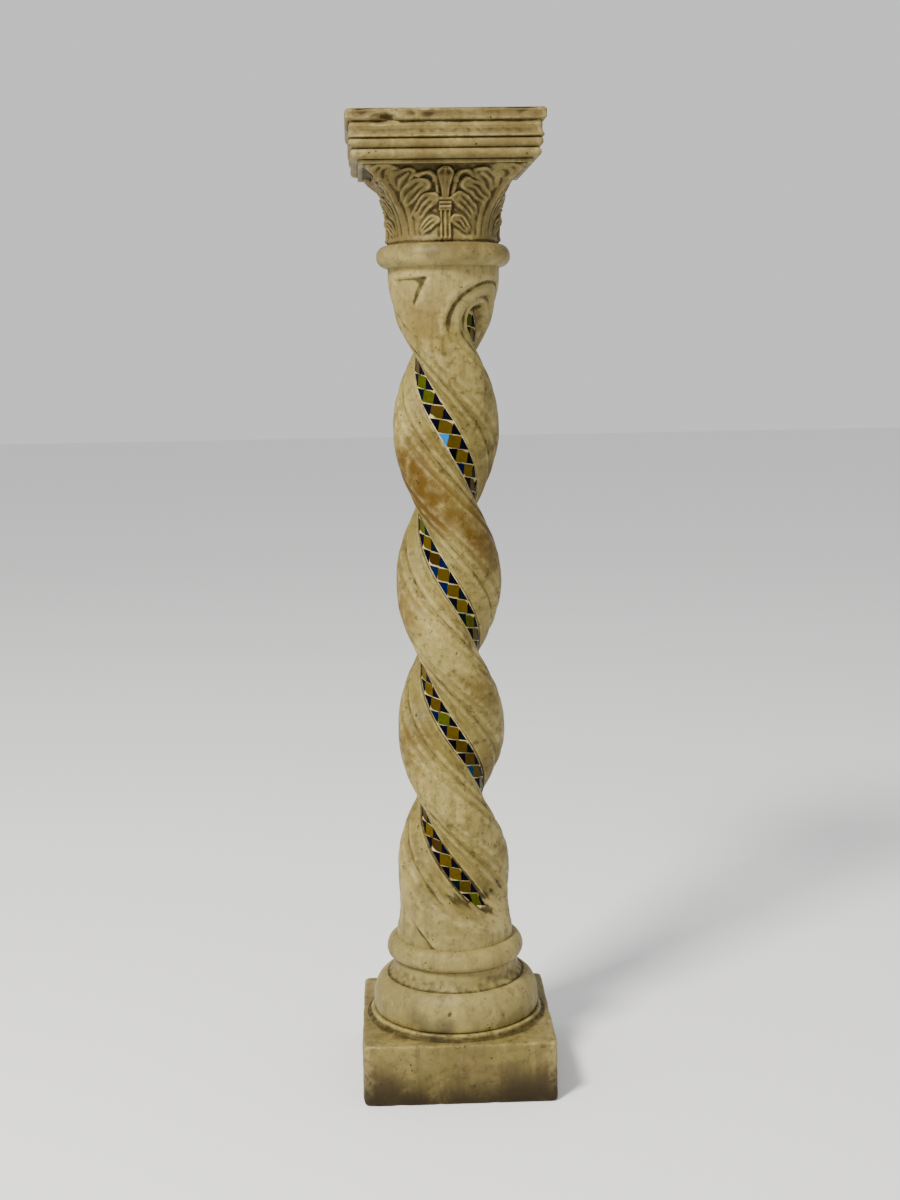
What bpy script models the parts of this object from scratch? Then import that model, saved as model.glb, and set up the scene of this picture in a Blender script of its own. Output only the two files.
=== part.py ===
"""Barley twist column: a two-stranded twisted shaft on a moulded base and square plinth, under a leaf
capital, with a mosaic band laid along each of its two grooves. Metres, +Z up. The origin is the middle
of the plinth's underside, and the front looks along -Y."""

import math

import bmesh
import bpy
import numpy as np

MM = 0.001

# Plinth, a worn square block
PLINTH_WIDTH = 200 * MM
PLINTH_HEIGHT = 63.5 * MM
PLINTH_EDGE_WEAR = 4 * MM

# Base mouldings between the plinth and the shaft, upwards: foot fillet, lower torus, slope, upper torus
FOOT_FILLET_RADIUS = 91 * MM
FOOT_FILLET_HEIGHT = 6.5 * MM
FOOT_FILLET_WEAR = 1.2 * MM
LOWER_TORUS_RADIUS = 87.8 * MM
LOWER_TORUS_HEIGHT = 38 * MM
LOWER_TORUS_BELLY_SHARE = 0.32
LOWER_TORUS_UNDERCUT = 2.2 * MM
SLOPE_FOOT_RADIUS = 72 * MM
SLOPE_NECK_RADIUS = 66 * MM
SLOPE_NECK_SHARE = 0.64
SLOPE_HEIGHT = 20 * MM
UPPER_TORUS_RADIUS = 72.4 * MM
UPPER_TORUS_HEIGHT = 20.5 * MM
UPPER_TORUS_BELLY_SHARE = 0.36
UPPER_TORUS_DEPTH = 10 * MM

# Shaft
SHAFT_HEIGHT = 698 * MM
SHAFT_FOOT_RADIUS = 61.6 * MM
SHAFT_WAIST_RADIUS = 54.6 * MM
SHAFT_HEAD_RADIUS = 56.5 * MM
SHAFT_WAIST_SHARE = 0.75
TAPER_BELOW_WAIST = 2.6
TAPER_ABOVE_WAIST = 2

# Twist of the two strands and the grooves between them. The drift is how far the hand-cut twist strays from
# an even one: degrees at shares of the shaft's height
TWIST_LEAD = 305 * MM
FRONT_GROOVE_BELOW_HEAD = 167.6 * MM
TWIST_DRIFT = ((0, 4), (0.09, 3), (0.31, -0.5), (0.54, 0), (0.65, 2), (0.77, 8), (1, 7))
GROOVE_FLOOR_DEPTH = 26 * MM
GROOVE_HEAD_MARGIN = 52 * MM
GROOVE_FOOT_RISE = (10 * MM, 48 * MM)
MOULDING_RISE_PER_DEGREE = 0.5 * MM
UNROLL_SHARE = 0.92

# Depth below the strand's crest, at degrees from the groove's centre line: floor, lip beside the mosaic,
# two ridges, deep hollow, third ridge, soft hollow, then the strand's own round
LIP_ANGLE = 22
GROOVE_PROFILE = (
    (0, 26 * MM),
    (19, 25 * MM),
    (22, 22.5 * MM),
    (27, 22 * MM),
    (34, 17.3 * MM),
    (38, 16.2 * MM),
    (44, 10.9 * MM),
    (51, 10.1 * MM),
    (58, 4.2 * MM),
    (65, 4.2 * MM),
    (69, 1.9 * MM),
    (78, 0.5 * MM),
    (90, 0),
)
SECTION_ANGLES = (27, 34, 44, 51, 58, 66, 79)

# Mosaic bands, let into the groove floors. They are a little wider towards the shaft's head: from one share
# of its height to the other
MOSAIC_WIDTH = 20.6 * MM
MOSAIC_HEAD_WIDTH = 23.6 * MM
MOSAIC_SPREAD_SHARES = (0.64, 0.74)
MOSAIC_THICKNESS = 3 * MM
MOSAIC_LIP = 1.6 * MM
MOSAIC_CLEARANCE = 0.4 * MM
MOSAIC_FOOT_MARGIN = 36 * MM
MOSAIC_HEAD_MARGIN = 44 * MM
MOSAIC_POINT_LENGTH = 24 * MM
MOSAIC_POINT_SHARE = 0.25
MOSAIC_NECK_LENGTH = 40 * MM
RECESS_END_SLOPE = 1.5 * MM

# Neck ring and bell
RING_HEIGHT = 22.5 * MM
RING_RADIUS = 67.8 * MM
RING_ROUND_SHARE = 0.5
BELL_HEIGHT = 71.8 * MM
BELL_FOOT_RADIUS = 55.8 * MM
BELL_HEAD_HALF_WIDTH = 71 * MM
BELL_FLARE_POWER = 2.9
BELL_SQUARING = (0.1, 1)
CORNER_LEAF_REACH = 11 * MM
CORNER_LEAF_ANGLE = math.radians(11)
CORNER_LEAF_RISE = (0.68, 1.1)
CAPITAL_TURN = math.radians(1.25)

# Carving on the bell. Leaf lobes on half a face: root and tip, each as distance from the face's middle along
# the bell's foot circle and share of the bell's height, then width
LEAF_LOBES = (
    ((26 * MM, 0.11), (6 * MM, 0.32), 12 * MM),
    ((31 * MM, 0.30), (7 * MM, 0.62), 13 * MM),
    ((40 * MM, 0.47), (14 * MM, 0.80), 13 * MM),
    ((38 * MM, 0.64), (24 * MM, 0.95), 11 * MM),
)
LEAF_RELIEF = 1.4 * MM
LEAF_TIP_CURL = 2.2 * MM
LEAF_ROOT_FADE = (0, 0.25)
LEAF_TIP_FADE = (0.9, 1.05)
STEM_HALF_WIDTH = 5.2 * MM
STEM_RELIEF = 2 * MM
STEM_TOP_SHARE = 0.42
TIE_HALF_WIDTH = 6.5 * MM
TIE_TOP_SHARE = 0.59
LILY_HALF_WIDTH = 7.2 * MM
LILY_WIDEST_SHARE = 0.9
LILY_RELIEF = 3.5 * MM
CARVING_FOOT_FADE = (0, 0.05)
CARVING_HEAD_FADE = (1, 1.06)

# Abacus: a fillet, two rounds and a cavetto under a plain slab. Each inset is from the slab's face
ABACUS_WIDTH = 192.5 * MM
ABACUS_HEIGHT = 50 * MM
ABACUS_FOOT_WIDTH = 168 * MM
ABACUS_FOOT_FILLET = 3.2 * MM
SLAB_HEIGHT = 10.7 * MM
SLAB_EDGE_WEAR = 2 * MM
SLAB_FOOT_WEAR = 1.5 * MM
CAVETTO_HEIGHT = 14.6 * MM
CAVETTO_INSET = 4.3 * MM
CAVETTO_FILLET_INSET = 2.2 * MM
CAVETTO_CURVES = (0.3, 0.2)
UPPER_ROUND = (4.8 * MM, 5 * MM)
UPPER_ROUND_INSET = 3.4 * MM
LOWER_ROUND = (4.8 * MM, 4.6 * MM)
LOWER_ROUND_INSET = 5 * MM
ROUND_GAP = 1 * MM

# Fineness of the facets, and how far the column's pieces reach into each other before they are joined
TURNED_STEPS = 32
FACETS_PER_FACE = 18
BELL_RINGS = 12
SHAFT_FOOT_RINGS = 6
SHAFT_HEAD_RINGS = 7
MOSAIC_POINT_RINGS = 5
MOSAIC_BODY_RINGS = 41
MOSAIC_NECK_RINGS = 6
PIECE_OVERLAP = 8 * MM

SHAFT_FOOT = (
    PLINTH_HEIGHT + FOOT_FILLET_HEIGHT + LOWER_TORUS_HEIGHT + SLOPE_HEIGHT + UPPER_TORUS_HEIGHT
)
SHAFT_HEAD = SHAFT_FOOT + SHAFT_HEIGHT
RING_HEAD = SHAFT_HEAD + RING_HEIGHT
ABACUS_FOOT = RING_HEAD + BELL_HEIGHT
COLUMN_HEIGHT = ABACUS_FOOT + ABACUS_HEIGHT
MOSAIC_FOOT = SHAFT_FOOT + MOSAIC_FOOT_MARGIN
MOSAIC_HEAD = SHAFT_HEAD - MOSAIC_HEAD_MARGIN


def fade(value, start, end):
    """0 at start, 1 at end, smooth between."""
    share = np.clip((value - start) / (end - start), 0, 1)
    return share * share * (3 - 2 * share)


def crest_radius(z):
    """Radius of the strands' crests: widest at the foot, slimmest at the waist, a little wider at the head."""
    up = z - SHAFT_FOOT
    waist = SHAFT_WAIST_SHARE * SHAFT_HEIGHT
    below = np.clip((waist - up) / waist, 0, None)
    above = np.clip((up - waist) / (SHAFT_HEIGHT - waist), 0, None)
    return (
        SHAFT_WAIST_RADIUS
        + (SHAFT_FOOT_RADIUS - SHAFT_WAIST_RADIUS) * below**TAPER_BELOW_WAIST
        + (SHAFT_HEAD_RADIUS - SHAFT_WAIST_RADIUS) * above**TAPER_ABOVE_WAIST
    )


def groove_angle(z):
    """Direction of the first groove's centre line, which faces the front, -Y, near one height. The twist is
    left-handed: it turns clockwise, seen from above, on its way up."""
    front = SHAFT_HEAD - FRONT_GROOVE_BELOW_HEAD
    shares, degrees = np.array(TWIST_DRIFT).T
    drift = np.radians(np.interp((z - SHAFT_FOOT) / SHAFT_HEIGHT, shares, degrees))
    return -math.pi / 2 - (z - front) / TWIST_LEAD * 2 * math.pi + drift


def groove_share(away, z):
    """How much of its full depth the groove has at degrees from its centre line: it runs out at the shaft's
    foot, its outer mouldings first."""
    rise = MOULDING_RISE_PER_DEGREE * np.maximum(away - LIP_ANGLE, 0)
    return fade(z - SHAFT_FOOT - rise, *GROOVE_FOOT_RISE)


def from_centre_line(turn, z):
    """Degrees from the nearer groove's centre line, for a point turned from the first one by turn. Past the
    groove's head the distance is taken all round its end, so that the mouldings close over it in an arch."""
    radius = SHAFT_HEAD_RADIUS * UNROLL_SHARE
    steep = math.atan(2 * math.pi * radius / TWIST_LEAD)
    past = z - (SHAFT_HEAD - GROOVE_HEAD_MARGIN)
    nearest = np.inf
    for groove in (0, math.pi):
        aside = (turn - groove + math.pi) % (2 * math.pi) - math.pi
        across = radius * aside * math.cos(steep)
        along = past / math.cos(steep) - radius * aside * math.sin(steep)
        away = np.hypot(across, np.maximum(along, 0))
        nearest = np.minimum(nearest, np.degrees(away / (radius * math.cos(steep))))
    return nearest


def shaft_radius(turn, z):
    """Radius of the carved shaft, apart from the recess of the mosaic."""
    angles, depths = np.array(GROOVE_PROFILE).T
    away = from_centre_line(turn, z)
    return crest_radius(z) - groove_share(away, z) * np.interp(away, angles, depths)


def mosaic_face(z):
    """Distance of the mosaic's flat face from the axis."""
    return crest_radius(z) - groove_share(0, z) * GROOVE_FLOOR_DEPTH


def mosaic_half_width(z):
    """Half the mosaic's width, which narrows to a blunt point at its foot."""
    share = np.clip((z - MOSAIC_FOOT) / MOSAIC_POINT_LENGTH, 0, 1)
    spread = fade((z - SHAFT_FOOT) / SHAFT_HEIGHT, *MOSAIC_SPREAD_SHARES)
    width = MOSAIC_WIDTH + (MOSAIC_HEAD_WIDTH - MOSAIC_WIDTH) * spread
    return width / 2 * (MOSAIC_POINT_SHARE + (1 - MOSAIC_POINT_SHARE) * share)


def new_object(name, mesh, collection):
    item = bpy.data.objects.new(name, mesh)
    collection.objects.link(item)
    return item


def loft(name, rings, collection, rising=True):
    """A closed mesh of triangles through rings of as many points each, with flat ends. The triangles' long
    sides rise along the ring's direction, or against it, so that two lofts that face each other can match."""
    form = bmesh.new()
    loops = [[form.verts.new(point) for point in ring] for ring in rings]
    count = len(loops[0])
    for lower, upper in zip(loops, loops[1:]):
        for i in range(count):
            j = (i + 1) % count
            if rising:
                form.faces.new((lower[i], lower[j], upper[j]))
                form.faces.new((lower[i], upper[j], upper[i]))
            else:
                form.faces.new((lower[i], lower[j], upper[i]))
                form.faces.new((lower[j], upper[j], upper[i]))
    form.faces.new(loops[0][::-1])
    form.faces.new(loops[-1])
    mesh = bpy.data.meshes.new(name)
    form.to_mesh(mesh)
    form.free()
    return new_object(name, mesh, collection)


def turned(name, outline, steps, collection):
    """A solid turned from an outline of (radius, z) points that runs from the axis at the top to the axis
    at the bottom. Four steps make a square moulding with mitred corners."""
    mesh = bpy.data.meshes.new(name)
    points = [(radius, 0, z) for radius, z in outline]
    mesh.from_pydata(points, [(i, i + 1) for i in range(len(points) - 1)], [])
    item = new_object(name, mesh, collection)
    screw = item.modifiers.new("turn", "SCREW")
    screw.axis = "Z"
    screw.angle = 2 * math.pi
    screw.steps = steps
    screw.render_steps = steps
    screw.use_merge_vertices = True
    screw.merge_threshold = 0.01 * MM
    return item


def arc(centre, radii, start, end, steps):
    """Points of an elliptical arc in an outline, from start to end degrees, where 90 is straight up."""
    angles = np.radians(np.linspace(start, end, steps + 1))
    return [(centre[0] + radii[0] * math.cos(a), centre[1] + radii[1] * math.sin(a)) for a in angles]


def shaft_ring(z, recessed):
    """The shaft's section at one height. Each groove has its mosaic's recess in the middle, where recessed
    is true, and then the mouldings and the strand's round at the profile's own angles."""
    sides = []
    half = mosaic_half_width(z) + MOSAIC_CLEARANCE
    face = mosaic_face(z)
    lip_radius = shaft_radius(math.radians(LIP_ANGLE), z)
    lip = max(math.sqrt(lip_radius**2 - half**2), face + MOSAIC_LIP)
    back = face - MOSAIC_THICKNESS - MOSAIC_CLEARANCE
    for turn in np.radians(SECTION_ANGLES):
        sides.append((turn, shaft_radius(turn, z), shaft_radius(-turn, z)))
    section = []
    for groove in (0, math.pi):
        middle = groove_angle(z) + groove
        before = [(-turn, radius) for turn, _, radius in reversed(sides)]
        after = [(turn, radius) for turn, radius, _ in sides]
        if recessed:
            wall = math.atan2(half, back)
            edge = math.atan2(half, lip)
            floor = [
                (-edge, math.hypot(half, lip)),
                (-wall, math.hypot(half, back)),
                (0, back),
                (wall, math.hypot(half, back)),
                (edge, math.hypot(half, lip)),
            ]
        else:
            turns = np.radians(np.linspace(-LIP_ANGLE, LIP_ANGLE, 5))
            floor = [(turn, shaft_radius(turn, z)) for turn in turns]
        for turn, radius in before + floor + after:
            section.append(
                (radius * math.cos(middle + turn), radius * math.sin(middle + turn), z)
            )
    return section


def mosaic_levels():
    """Heights of the mosaic's sections, shared by its recess, closer where it narrows and near its head."""
    point = np.linspace(MOSAIC_FOOT, MOSAIC_FOOT + 1.2 * MOSAIC_POINT_LENGTH, MOSAIC_POINT_RINGS)
    body = np.linspace(point[-1], MOSAIC_HEAD - MOSAIC_NECK_LENGTH, MOSAIC_BODY_RINGS)
    neck = np.linspace(body[-1], MOSAIC_HEAD, MOSAIC_NECK_RINGS)
    return [*point, *body[1:], *neck[1:]]


def make_shaft(collection):
    low = MOSAIC_FOOT - MOSAIC_CLEARANCE
    high = MOSAIC_HEAD + MOSAIC_CLEARANCE
    foot = np.linspace(SHAFT_FOOT - PIECE_OVERLAP, low - RECESS_END_SLOPE, SHAFT_FOOT_RINGS)
    head = np.linspace(high + RECESS_END_SLOPE, SHAFT_HEAD + PIECE_OVERLAP, SHAFT_HEAD_RINGS)
    rings = [shaft_ring(z, False) for z in foot]
    rings += [shaft_ring(z, True) for z in (low, *mosaic_levels()[1:-1], high)]
    rings += [shaft_ring(z, False) for z in head]
    return loft("column", rings, collection)


def make_mosaic(name, groove, collection):
    """One mosaic band: a flat strip that winds up the groove, its glass squares fused with their bed."""
    rings = []
    for z in mosaic_levels():
        half = mosaic_half_width(z)
        front = mosaic_face(z)
        back = front - MOSAIC_THICKNESS
        middle = groove_angle(z) + groove
        outward = np.array((math.cos(middle), math.sin(middle)))
        sideways = np.array((-outward[1], outward[0]))
        corners = ((-half, back), (-half, front), (half, front), (half, back), (0, back))
        ring = [outward * reach + sideways * aside for aside, reach in corners]
        rings.append([(x, y, z) for x, y in ring])
    return loft(name, rings, collection, rising=False)


def make_plinth(collection):
    bpy.ops.mesh.primitive_cube_add(size=1)
    item = bpy.context.object
    item.name = "plinth_block"
    item.scale = (PLINTH_WIDTH, PLINTH_WIDTH, PLINTH_HEIGHT)
    item.location = (0, 0, PLINTH_HEIGHT / 2)
    bpy.ops.object.transform_apply(location=True, scale=True)
    bevel = item.modifiers.new("worn_edges", "BEVEL")
    bevel.width = PLINTH_EDGE_WEAR
    bevel.segments = 2
    for owner in item.users_collection:
        owner.objects.unlink(item)
    collection.objects.link(item)
    return item


def make_base(collection):
    """The turned mouldings. Each torus is fullest below its middle, over a short undercut, and the slope
    draws in to a neck under the upper one."""
    fillet_top = PLINTH_HEIGHT + FOOT_FILLET_HEIGHT
    torus_top = fillet_top + LOWER_TORUS_HEIGHT
    slope_top = torus_top + SLOPE_HEIGHT
    lower_belly = fillet_top + LOWER_TORUS_BELLY_SHARE * LOWER_TORUS_HEIGHT
    lower_depth = LOWER_TORUS_RADIUS - SLOPE_FOOT_RADIUS
    upper_belly = slope_top + UPPER_TORUS_BELLY_SHARE * UPPER_TORUS_HEIGHT
    neck_depth = UPPER_TORUS_RADIUS - SLOPE_NECK_RADIUS
    outline = [(0, SHAFT_FOOT)]
    centre = (UPPER_TORUS_RADIUS - UPPER_TORUS_DEPTH, upper_belly)
    outline += arc(centre, (UPPER_TORUS_DEPTH, SHAFT_FOOT - upper_belly), 84, 0, 4)
    centre = (SLOPE_NECK_RADIUS, upper_belly)
    outline += arc(centre, (neck_depth, upper_belly - slope_top), -30, -75, 2)
    outline += [(SLOPE_NECK_RADIUS, torus_top + SLOPE_NECK_SHARE * SLOPE_HEIGHT)]
    outline += [(SLOPE_FOOT_RADIUS, torus_top)]
    centre = (SLOPE_FOOT_RADIUS, lower_belly)
    outline += arc(centre, (lower_depth, torus_top - lower_belly), 84, 0, 4)
    centre = (LOWER_TORUS_RADIUS - LOWER_TORUS_UNDERCUT, lower_belly)
    outline += arc(centre, (LOWER_TORUS_UNDERCUT, lower_belly - fillet_top), -40, -80, 2)
    outline += [(FOOT_FILLET_RADIUS - FOOT_FILLET_WEAR, fillet_top)]
    outline += [(FOOT_FILLET_RADIUS, fillet_top - FOOT_FILLET_WEAR)]
    outline += [(FOOT_FILLET_RADIUS, PLINTH_HEIGHT - PIECE_OVERLAP)]
    outline += [(0, PLINTH_HEIGHT - PIECE_OVERLAP)]
    return turned("base_mouldings", outline, TURNED_STEPS, collection)


def make_ring(collection):
    middle = (SHAFT_HEAD + RING_HEAD) / 2
    depth = RING_HEIGHT * RING_ROUND_SHARE
    outline = [(0, RING_HEAD)]
    outline += arc((RING_RADIUS - depth, middle), (depth, RING_HEIGHT / 2), 86, -86, 6)
    outline += [(0, SHAFT_HEAD)]
    return turned("neck_ring", outline, TURNED_STEPS, collection)


def lobe(across, up, root, tip, width):
    """Height of one leaf lobe over the bell, from its root to its outward-curling tip."""
    reach = math.hypot(tip[0] - root[0], tip[1] - root[1])
    along = ((across - root[0]) * (tip[0] - root[0]) + (up - root[1]) * (tip[1] - root[1])) / reach**2
    aside = ((across - root[0]) * (tip[1] - root[1]) - (up - root[1]) * (tip[0] - root[0])) / reach
    swell = np.clip(1 - (aside / (width / 2)) ** 2, 0, 1)
    ends = fade(along, *LEAF_ROOT_FADE) * (1 - fade(along, *LEAF_TIP_FADE))
    return (LEAF_RELIEF + LEAF_TIP_CURL * np.clip(along, 0, 1) ** 2) * np.sqrt(swell) * ends


def leaf_relief(face_angle, share):
    """Carving over the bell's ground: half leaves on both sides of a tied stem that ends in a lily."""
    across = abs(face_angle) * BELL_FOOT_RADIUS
    up = share * BELL_HEIGHT
    height = 0.0
    for root, tip, width in LEAF_LOBES:
        ends = ((root[0], root[1] * BELL_HEIGHT), (tip[0], tip[1] * BELL_HEIGHT))
        height = max(height, lobe(across, up, *ends, width))
    if share < STEM_TOP_SHARE and across < STEM_HALF_WIDTH:
        height = max(height, STEM_RELIEF)
    if STEM_TOP_SHARE <= share < TIE_TOP_SHARE and across < TIE_HALF_WIDTH:
        height = max(height, LILY_RELIEF)
    opening = 0.5 + 0.5 * fade(share, TIE_TOP_SHARE, LILY_WIDEST_SHARE)
    if share >= TIE_TOP_SHARE and across < LILY_HALF_WIDTH * opening:
        height = max(height, LILY_RELIEF)
    return height * fade(share, *CARVING_FOOT_FADE) * (1 - fade(share, *CARVING_HEAD_FADE))


def bell_radius(face_angle, share):
    """Radius of the bell at an angle from a face's middle: round at the foot, square with drawn-out
    corners under the abacus."""
    flare = np.clip(share, 0, 1) ** BELL_FLARE_POWER
    half = BELL_FOOT_RADIUS + (BELL_HEAD_HALF_WIDTH - BELL_FOOT_RADIUS) * flare
    square = fade(share, *BELL_SQUARING)
    corner = CORNER_LEAF_REACH * fade(share, *CORNER_LEAF_RISE)
    corner *= math.exp(-(((math.pi / 4 - abs(face_angle)) / CORNER_LEAF_ANGLE) ** 2))
    ground = half * (1 + square * (1 / math.cos(face_angle) - 1)) + corner
    return ground + leaf_relief(face_angle, share)


def make_bell(collection):
    count = 4 * FACETS_PER_FACE
    rings = []
    overlap = PIECE_OVERLAP / BELL_HEIGHT
    shares = [-overlap, *np.linspace(0, 1, BELL_RINGS), 1 + overlap]
    for share in shares:
        ring = []
        for i in range(count):
            angle = 2 * math.pi * i / count
            face_angle = (angle + math.pi / 4) % (math.pi / 2) - math.pi / 4
            radius = bell_radius(face_angle, share)
            ring.append((radius * math.cos(angle), radius * math.sin(angle), RING_HEAD + share * BELL_HEIGHT))
        rings.append(ring)
    item = loft("capital_bell", rings, collection)
    item.rotation_euler.z = CAPITAL_TURN
    return item


def make_abacus(collection):
    """Square mouldings under a plain slab: a fillet, two rounds and a cavetto."""
    half = ABACUS_WIDTH / 2
    foot = ABACUS_FOOT_WIDTH / 2
    top = COLUMN_HEIGHT
    slab = top - SLAB_HEIGHT
    cavetto = slab - CAVETTO_HEIGHT
    upper = (half - UPPER_ROUND_INSET - UPPER_ROUND[0], cavetto - ROUND_GAP - UPPER_ROUND[1])
    lower = (half - LOWER_ROUND_INSET - LOWER_ROUND[0], upper[1] - UPPER_ROUND[1] - LOWER_ROUND[1])
    outline = [
        (0, top),
        (half - SLAB_EDGE_WEAR, top),
        (half, top - SLAB_EDGE_WEAR),
        (half, slab + SLAB_FOOT_WEAR),
        (half - SLAB_FOOT_WEAR, slab),
        (half - CAVETTO_INSET, slab - CAVETTO_CURVES[1] * CAVETTO_HEIGHT),
        (half - CAVETTO_INSET, cavetto + CAVETTO_CURVES[0] * CAVETTO_HEIGHT),
        (half - CAVETTO_FILLET_INSET, cavetto),
    ]
    outline += arc(upper, UPPER_ROUND, 55, -55, 4)
    outline += arc(lower, LOWER_ROUND, 55, -70, 4)
    outline += [
        (foot, ABACUS_FOOT + ABACUS_FOOT_FILLET),
        (foot, ABACUS_FOOT),
        (0, ABACUS_FOOT),
    ]
    outline = [(radius * math.sqrt(2), z) for radius, z in outline]
    item = turned("abacus_mouldings", outline, 4, collection)
    item.rotation_euler.z = math.pi / 4 + CAPITAL_TURN
    return item


def material(name, color, roughness):
    made = bpy.data.materials.new(name)
    made.use_nodes = True
    shader = made.node_tree.nodes["Principled BSDF"]
    shader.inputs["Base Color"].default_value = (*color, 1)
    shader.inputs["Roughness"].default_value = roughness
    shader.inputs["Metallic"].default_value = 0
    return made


def unite(item, others):
    for other in others:
        join = item.modifiers.new("join_" + other.name, "BOOLEAN")
        join.operation = "UNION"
        join.solver = "EXACT"
        join.object = other
        other.hide_render = True
        other.display_type = "WIRE"


def new_collection(name):
    made = bpy.data.collections.new(name)
    bpy.context.scene.collection.children.link(made)
    return made


def main():
    for item in list(bpy.data.objects):
        bpy.data.objects.remove(item)
    parts = new_collection("barley_twist_column")
    helpers = new_collection("cutters")
    stone = material("patinated_stone", (0.42, 0.34, 0.20), 0.5)
    glass = material("glass_mosaic", (0.10, 0.09, 0.05), 0.2)

    column = make_shaft(parts)
    column.data.materials.append(stone)
    unite(
        column,
        [
            make_base(helpers),
            make_plinth(helpers),
            make_ring(helpers),
            make_bell(helpers),
            make_abacus(helpers),
        ],
    )
    for number, groove in enumerate((0, math.pi), start=1):
        band = make_mosaic(f"mosaic_band_{number}", groove, parts)
        band.data.materials.append(glass)


main()
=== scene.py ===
import math
import random

import bmesh
import bpy
import numpy as np
from mathutils import Matrix, Vector


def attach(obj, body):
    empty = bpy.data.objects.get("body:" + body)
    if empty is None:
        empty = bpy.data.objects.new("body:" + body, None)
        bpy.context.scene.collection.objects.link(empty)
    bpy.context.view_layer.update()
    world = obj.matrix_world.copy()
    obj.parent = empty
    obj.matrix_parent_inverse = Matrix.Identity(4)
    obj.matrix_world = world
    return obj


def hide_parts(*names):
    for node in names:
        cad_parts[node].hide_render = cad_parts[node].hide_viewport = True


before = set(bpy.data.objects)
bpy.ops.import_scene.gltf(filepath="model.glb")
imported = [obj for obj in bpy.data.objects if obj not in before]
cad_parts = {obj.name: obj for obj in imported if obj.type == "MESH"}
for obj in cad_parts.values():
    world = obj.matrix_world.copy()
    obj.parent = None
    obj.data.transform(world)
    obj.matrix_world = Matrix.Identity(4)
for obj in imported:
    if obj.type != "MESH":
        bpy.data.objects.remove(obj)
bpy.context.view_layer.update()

MM = 0.001

# The real object's sizes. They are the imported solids' own, except that the shaft's foot and waist are 0.3 mm
# slimmer and its groove 0.2 mm shallower, and that the mosaic is 0.2 mm wider with a shorter, blunter point.
PLINTH_WIDTH = 200 * MM
PLINTH_HEIGHT = 63.5 * MM
FOOT_FILLET_RADIUS = 91 * MM
FOOT_FILLET_HEIGHT = 6.5 * MM
LOWER_TORUS_RADIUS = 87.8 * MM
LOWER_TORUS_HEIGHT = 38 * MM
LOWER_TORUS_BELLY_SHARE = 0.32
LOWER_TORUS_UNDERCUT = 2.2 * MM
SLOPE_FOOT_RADIUS = 72 * MM
SLOPE_NECK_RADIUS = 66 * MM
SLOPE_NECK_SHARE = 0.64
SLOPE_HEIGHT = 20 * MM
UPPER_TORUS_RADIUS = 72.4 * MM
UPPER_TORUS_HEIGHT = 20.5 * MM
UPPER_TORUS_BELLY_SHARE = 0.36
UPPER_TORUS_DEPTH = 10 * MM
SHAFT_HEIGHT = 698 * MM
SHAFT_FOOT_RADIUS = 61.3 * MM
SHAFT_WAIST_RADIUS = 54.3 * MM
SHAFT_HEAD_RADIUS = 56.5 * MM
SHAFT_WAIST_SHARE = 0.75
TAPER_BELOW_WAIST = 2.6
TAPER_ABOVE_WAIST = 2
TWIST_LEAD = 305 * MM
FRONT_GROOVE_BELOW_HEAD = 167.6 * MM
TWIST_DRIFT = ((0, 4), (0.09, 3), (0.31, -0.5), (0.54, 0), (0.65, 2), (0.77, 8), (1, 7))
GROOVE_FLOOR_DEPTH = 25.8 * MM
GROOVE_HEAD_MARGIN = 52 * MM
GROOVE_FOOT_RISE = (10 * MM, 48 * MM)
MOULDING_RISE_PER_DEGREE = 0.5 * MM
MOSAIC_WIDTH = 20.8 * MM
MOSAIC_HEAD_WIDTH = 23.8 * MM
MOSAIC_SPREAD_SHARES = (0.64, 0.74)
MOSAIC_FOOT_MARGIN = 36 * MM
MOSAIC_HEAD_MARGIN = 44 * MM
MOSAIC_POINT_LENGTH = 18 * MM
MOSAIC_POINT_SHARE = 0.45
RING_HEIGHT = 22.5 * MM
RING_RADIUS = 67.8 * MM
RING_ROUND_SHARE = 0.5
BELL_HEIGHT = 71.8 * MM
BELL_FOOT_RADIUS = 55.8 * MM
BELL_HEAD_HALF_WIDTH = 71 * MM
BELL_FLARE_POWER = 2.9
CORNER_LEAF_REACH = 11 * MM
CORNER_LEAF_ANGLE = math.radians(11)
CORNER_LEAF_RISE = (0.68, 1.1)
CAPITAL_TURN = math.radians(1.25)
ABACUS_WIDTH = 192.5 * MM
ABACUS_HEIGHT = 50 * MM
ABACUS_FOOT_WIDTH = 168 * MM
ABACUS_FOOT_FILLET = 3.2 * MM
SLAB_HEIGHT = 10.7 * MM
CAVETTO_HEIGHT = 14.6 * MM
CAVETTO_INSET = 4.3 * MM

FILLET_TOP = PLINTH_HEIGHT + FOOT_FILLET_HEIGHT
TORUS_TOP = FILLET_TOP + LOWER_TORUS_HEIGHT
SLOPE_TOP = TORUS_TOP + SLOPE_HEIGHT
SHAFT_FOOT = SLOPE_TOP + UPPER_TORUS_HEIGHT
SHAFT_HEAD = SHAFT_FOOT + SHAFT_HEIGHT
RING_HEAD = SHAFT_HEAD + RING_HEIGHT
ABACUS_FOOT = RING_HEAD + BELL_HEIGHT
COLUMN_HEIGHT = ABACUS_FOOT + ABACUS_HEIGHT
MOSAIC_FOOT = SHAFT_FOOT + MOSAIC_FOOT_MARGIN
MOSAIC_HEAD = SHAFT_HEAD - MOSAIC_HEAD_MARGIN
UNROLL_SHARE = 0.92
UNROLL_RADIUS = UNROLL_SHARE * SHAFT_HEAD_RADIUS
TWIST_STEEPNESS = math.atan(2 * math.pi * UNROLL_RADIUS / TWIST_LEAD)

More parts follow.
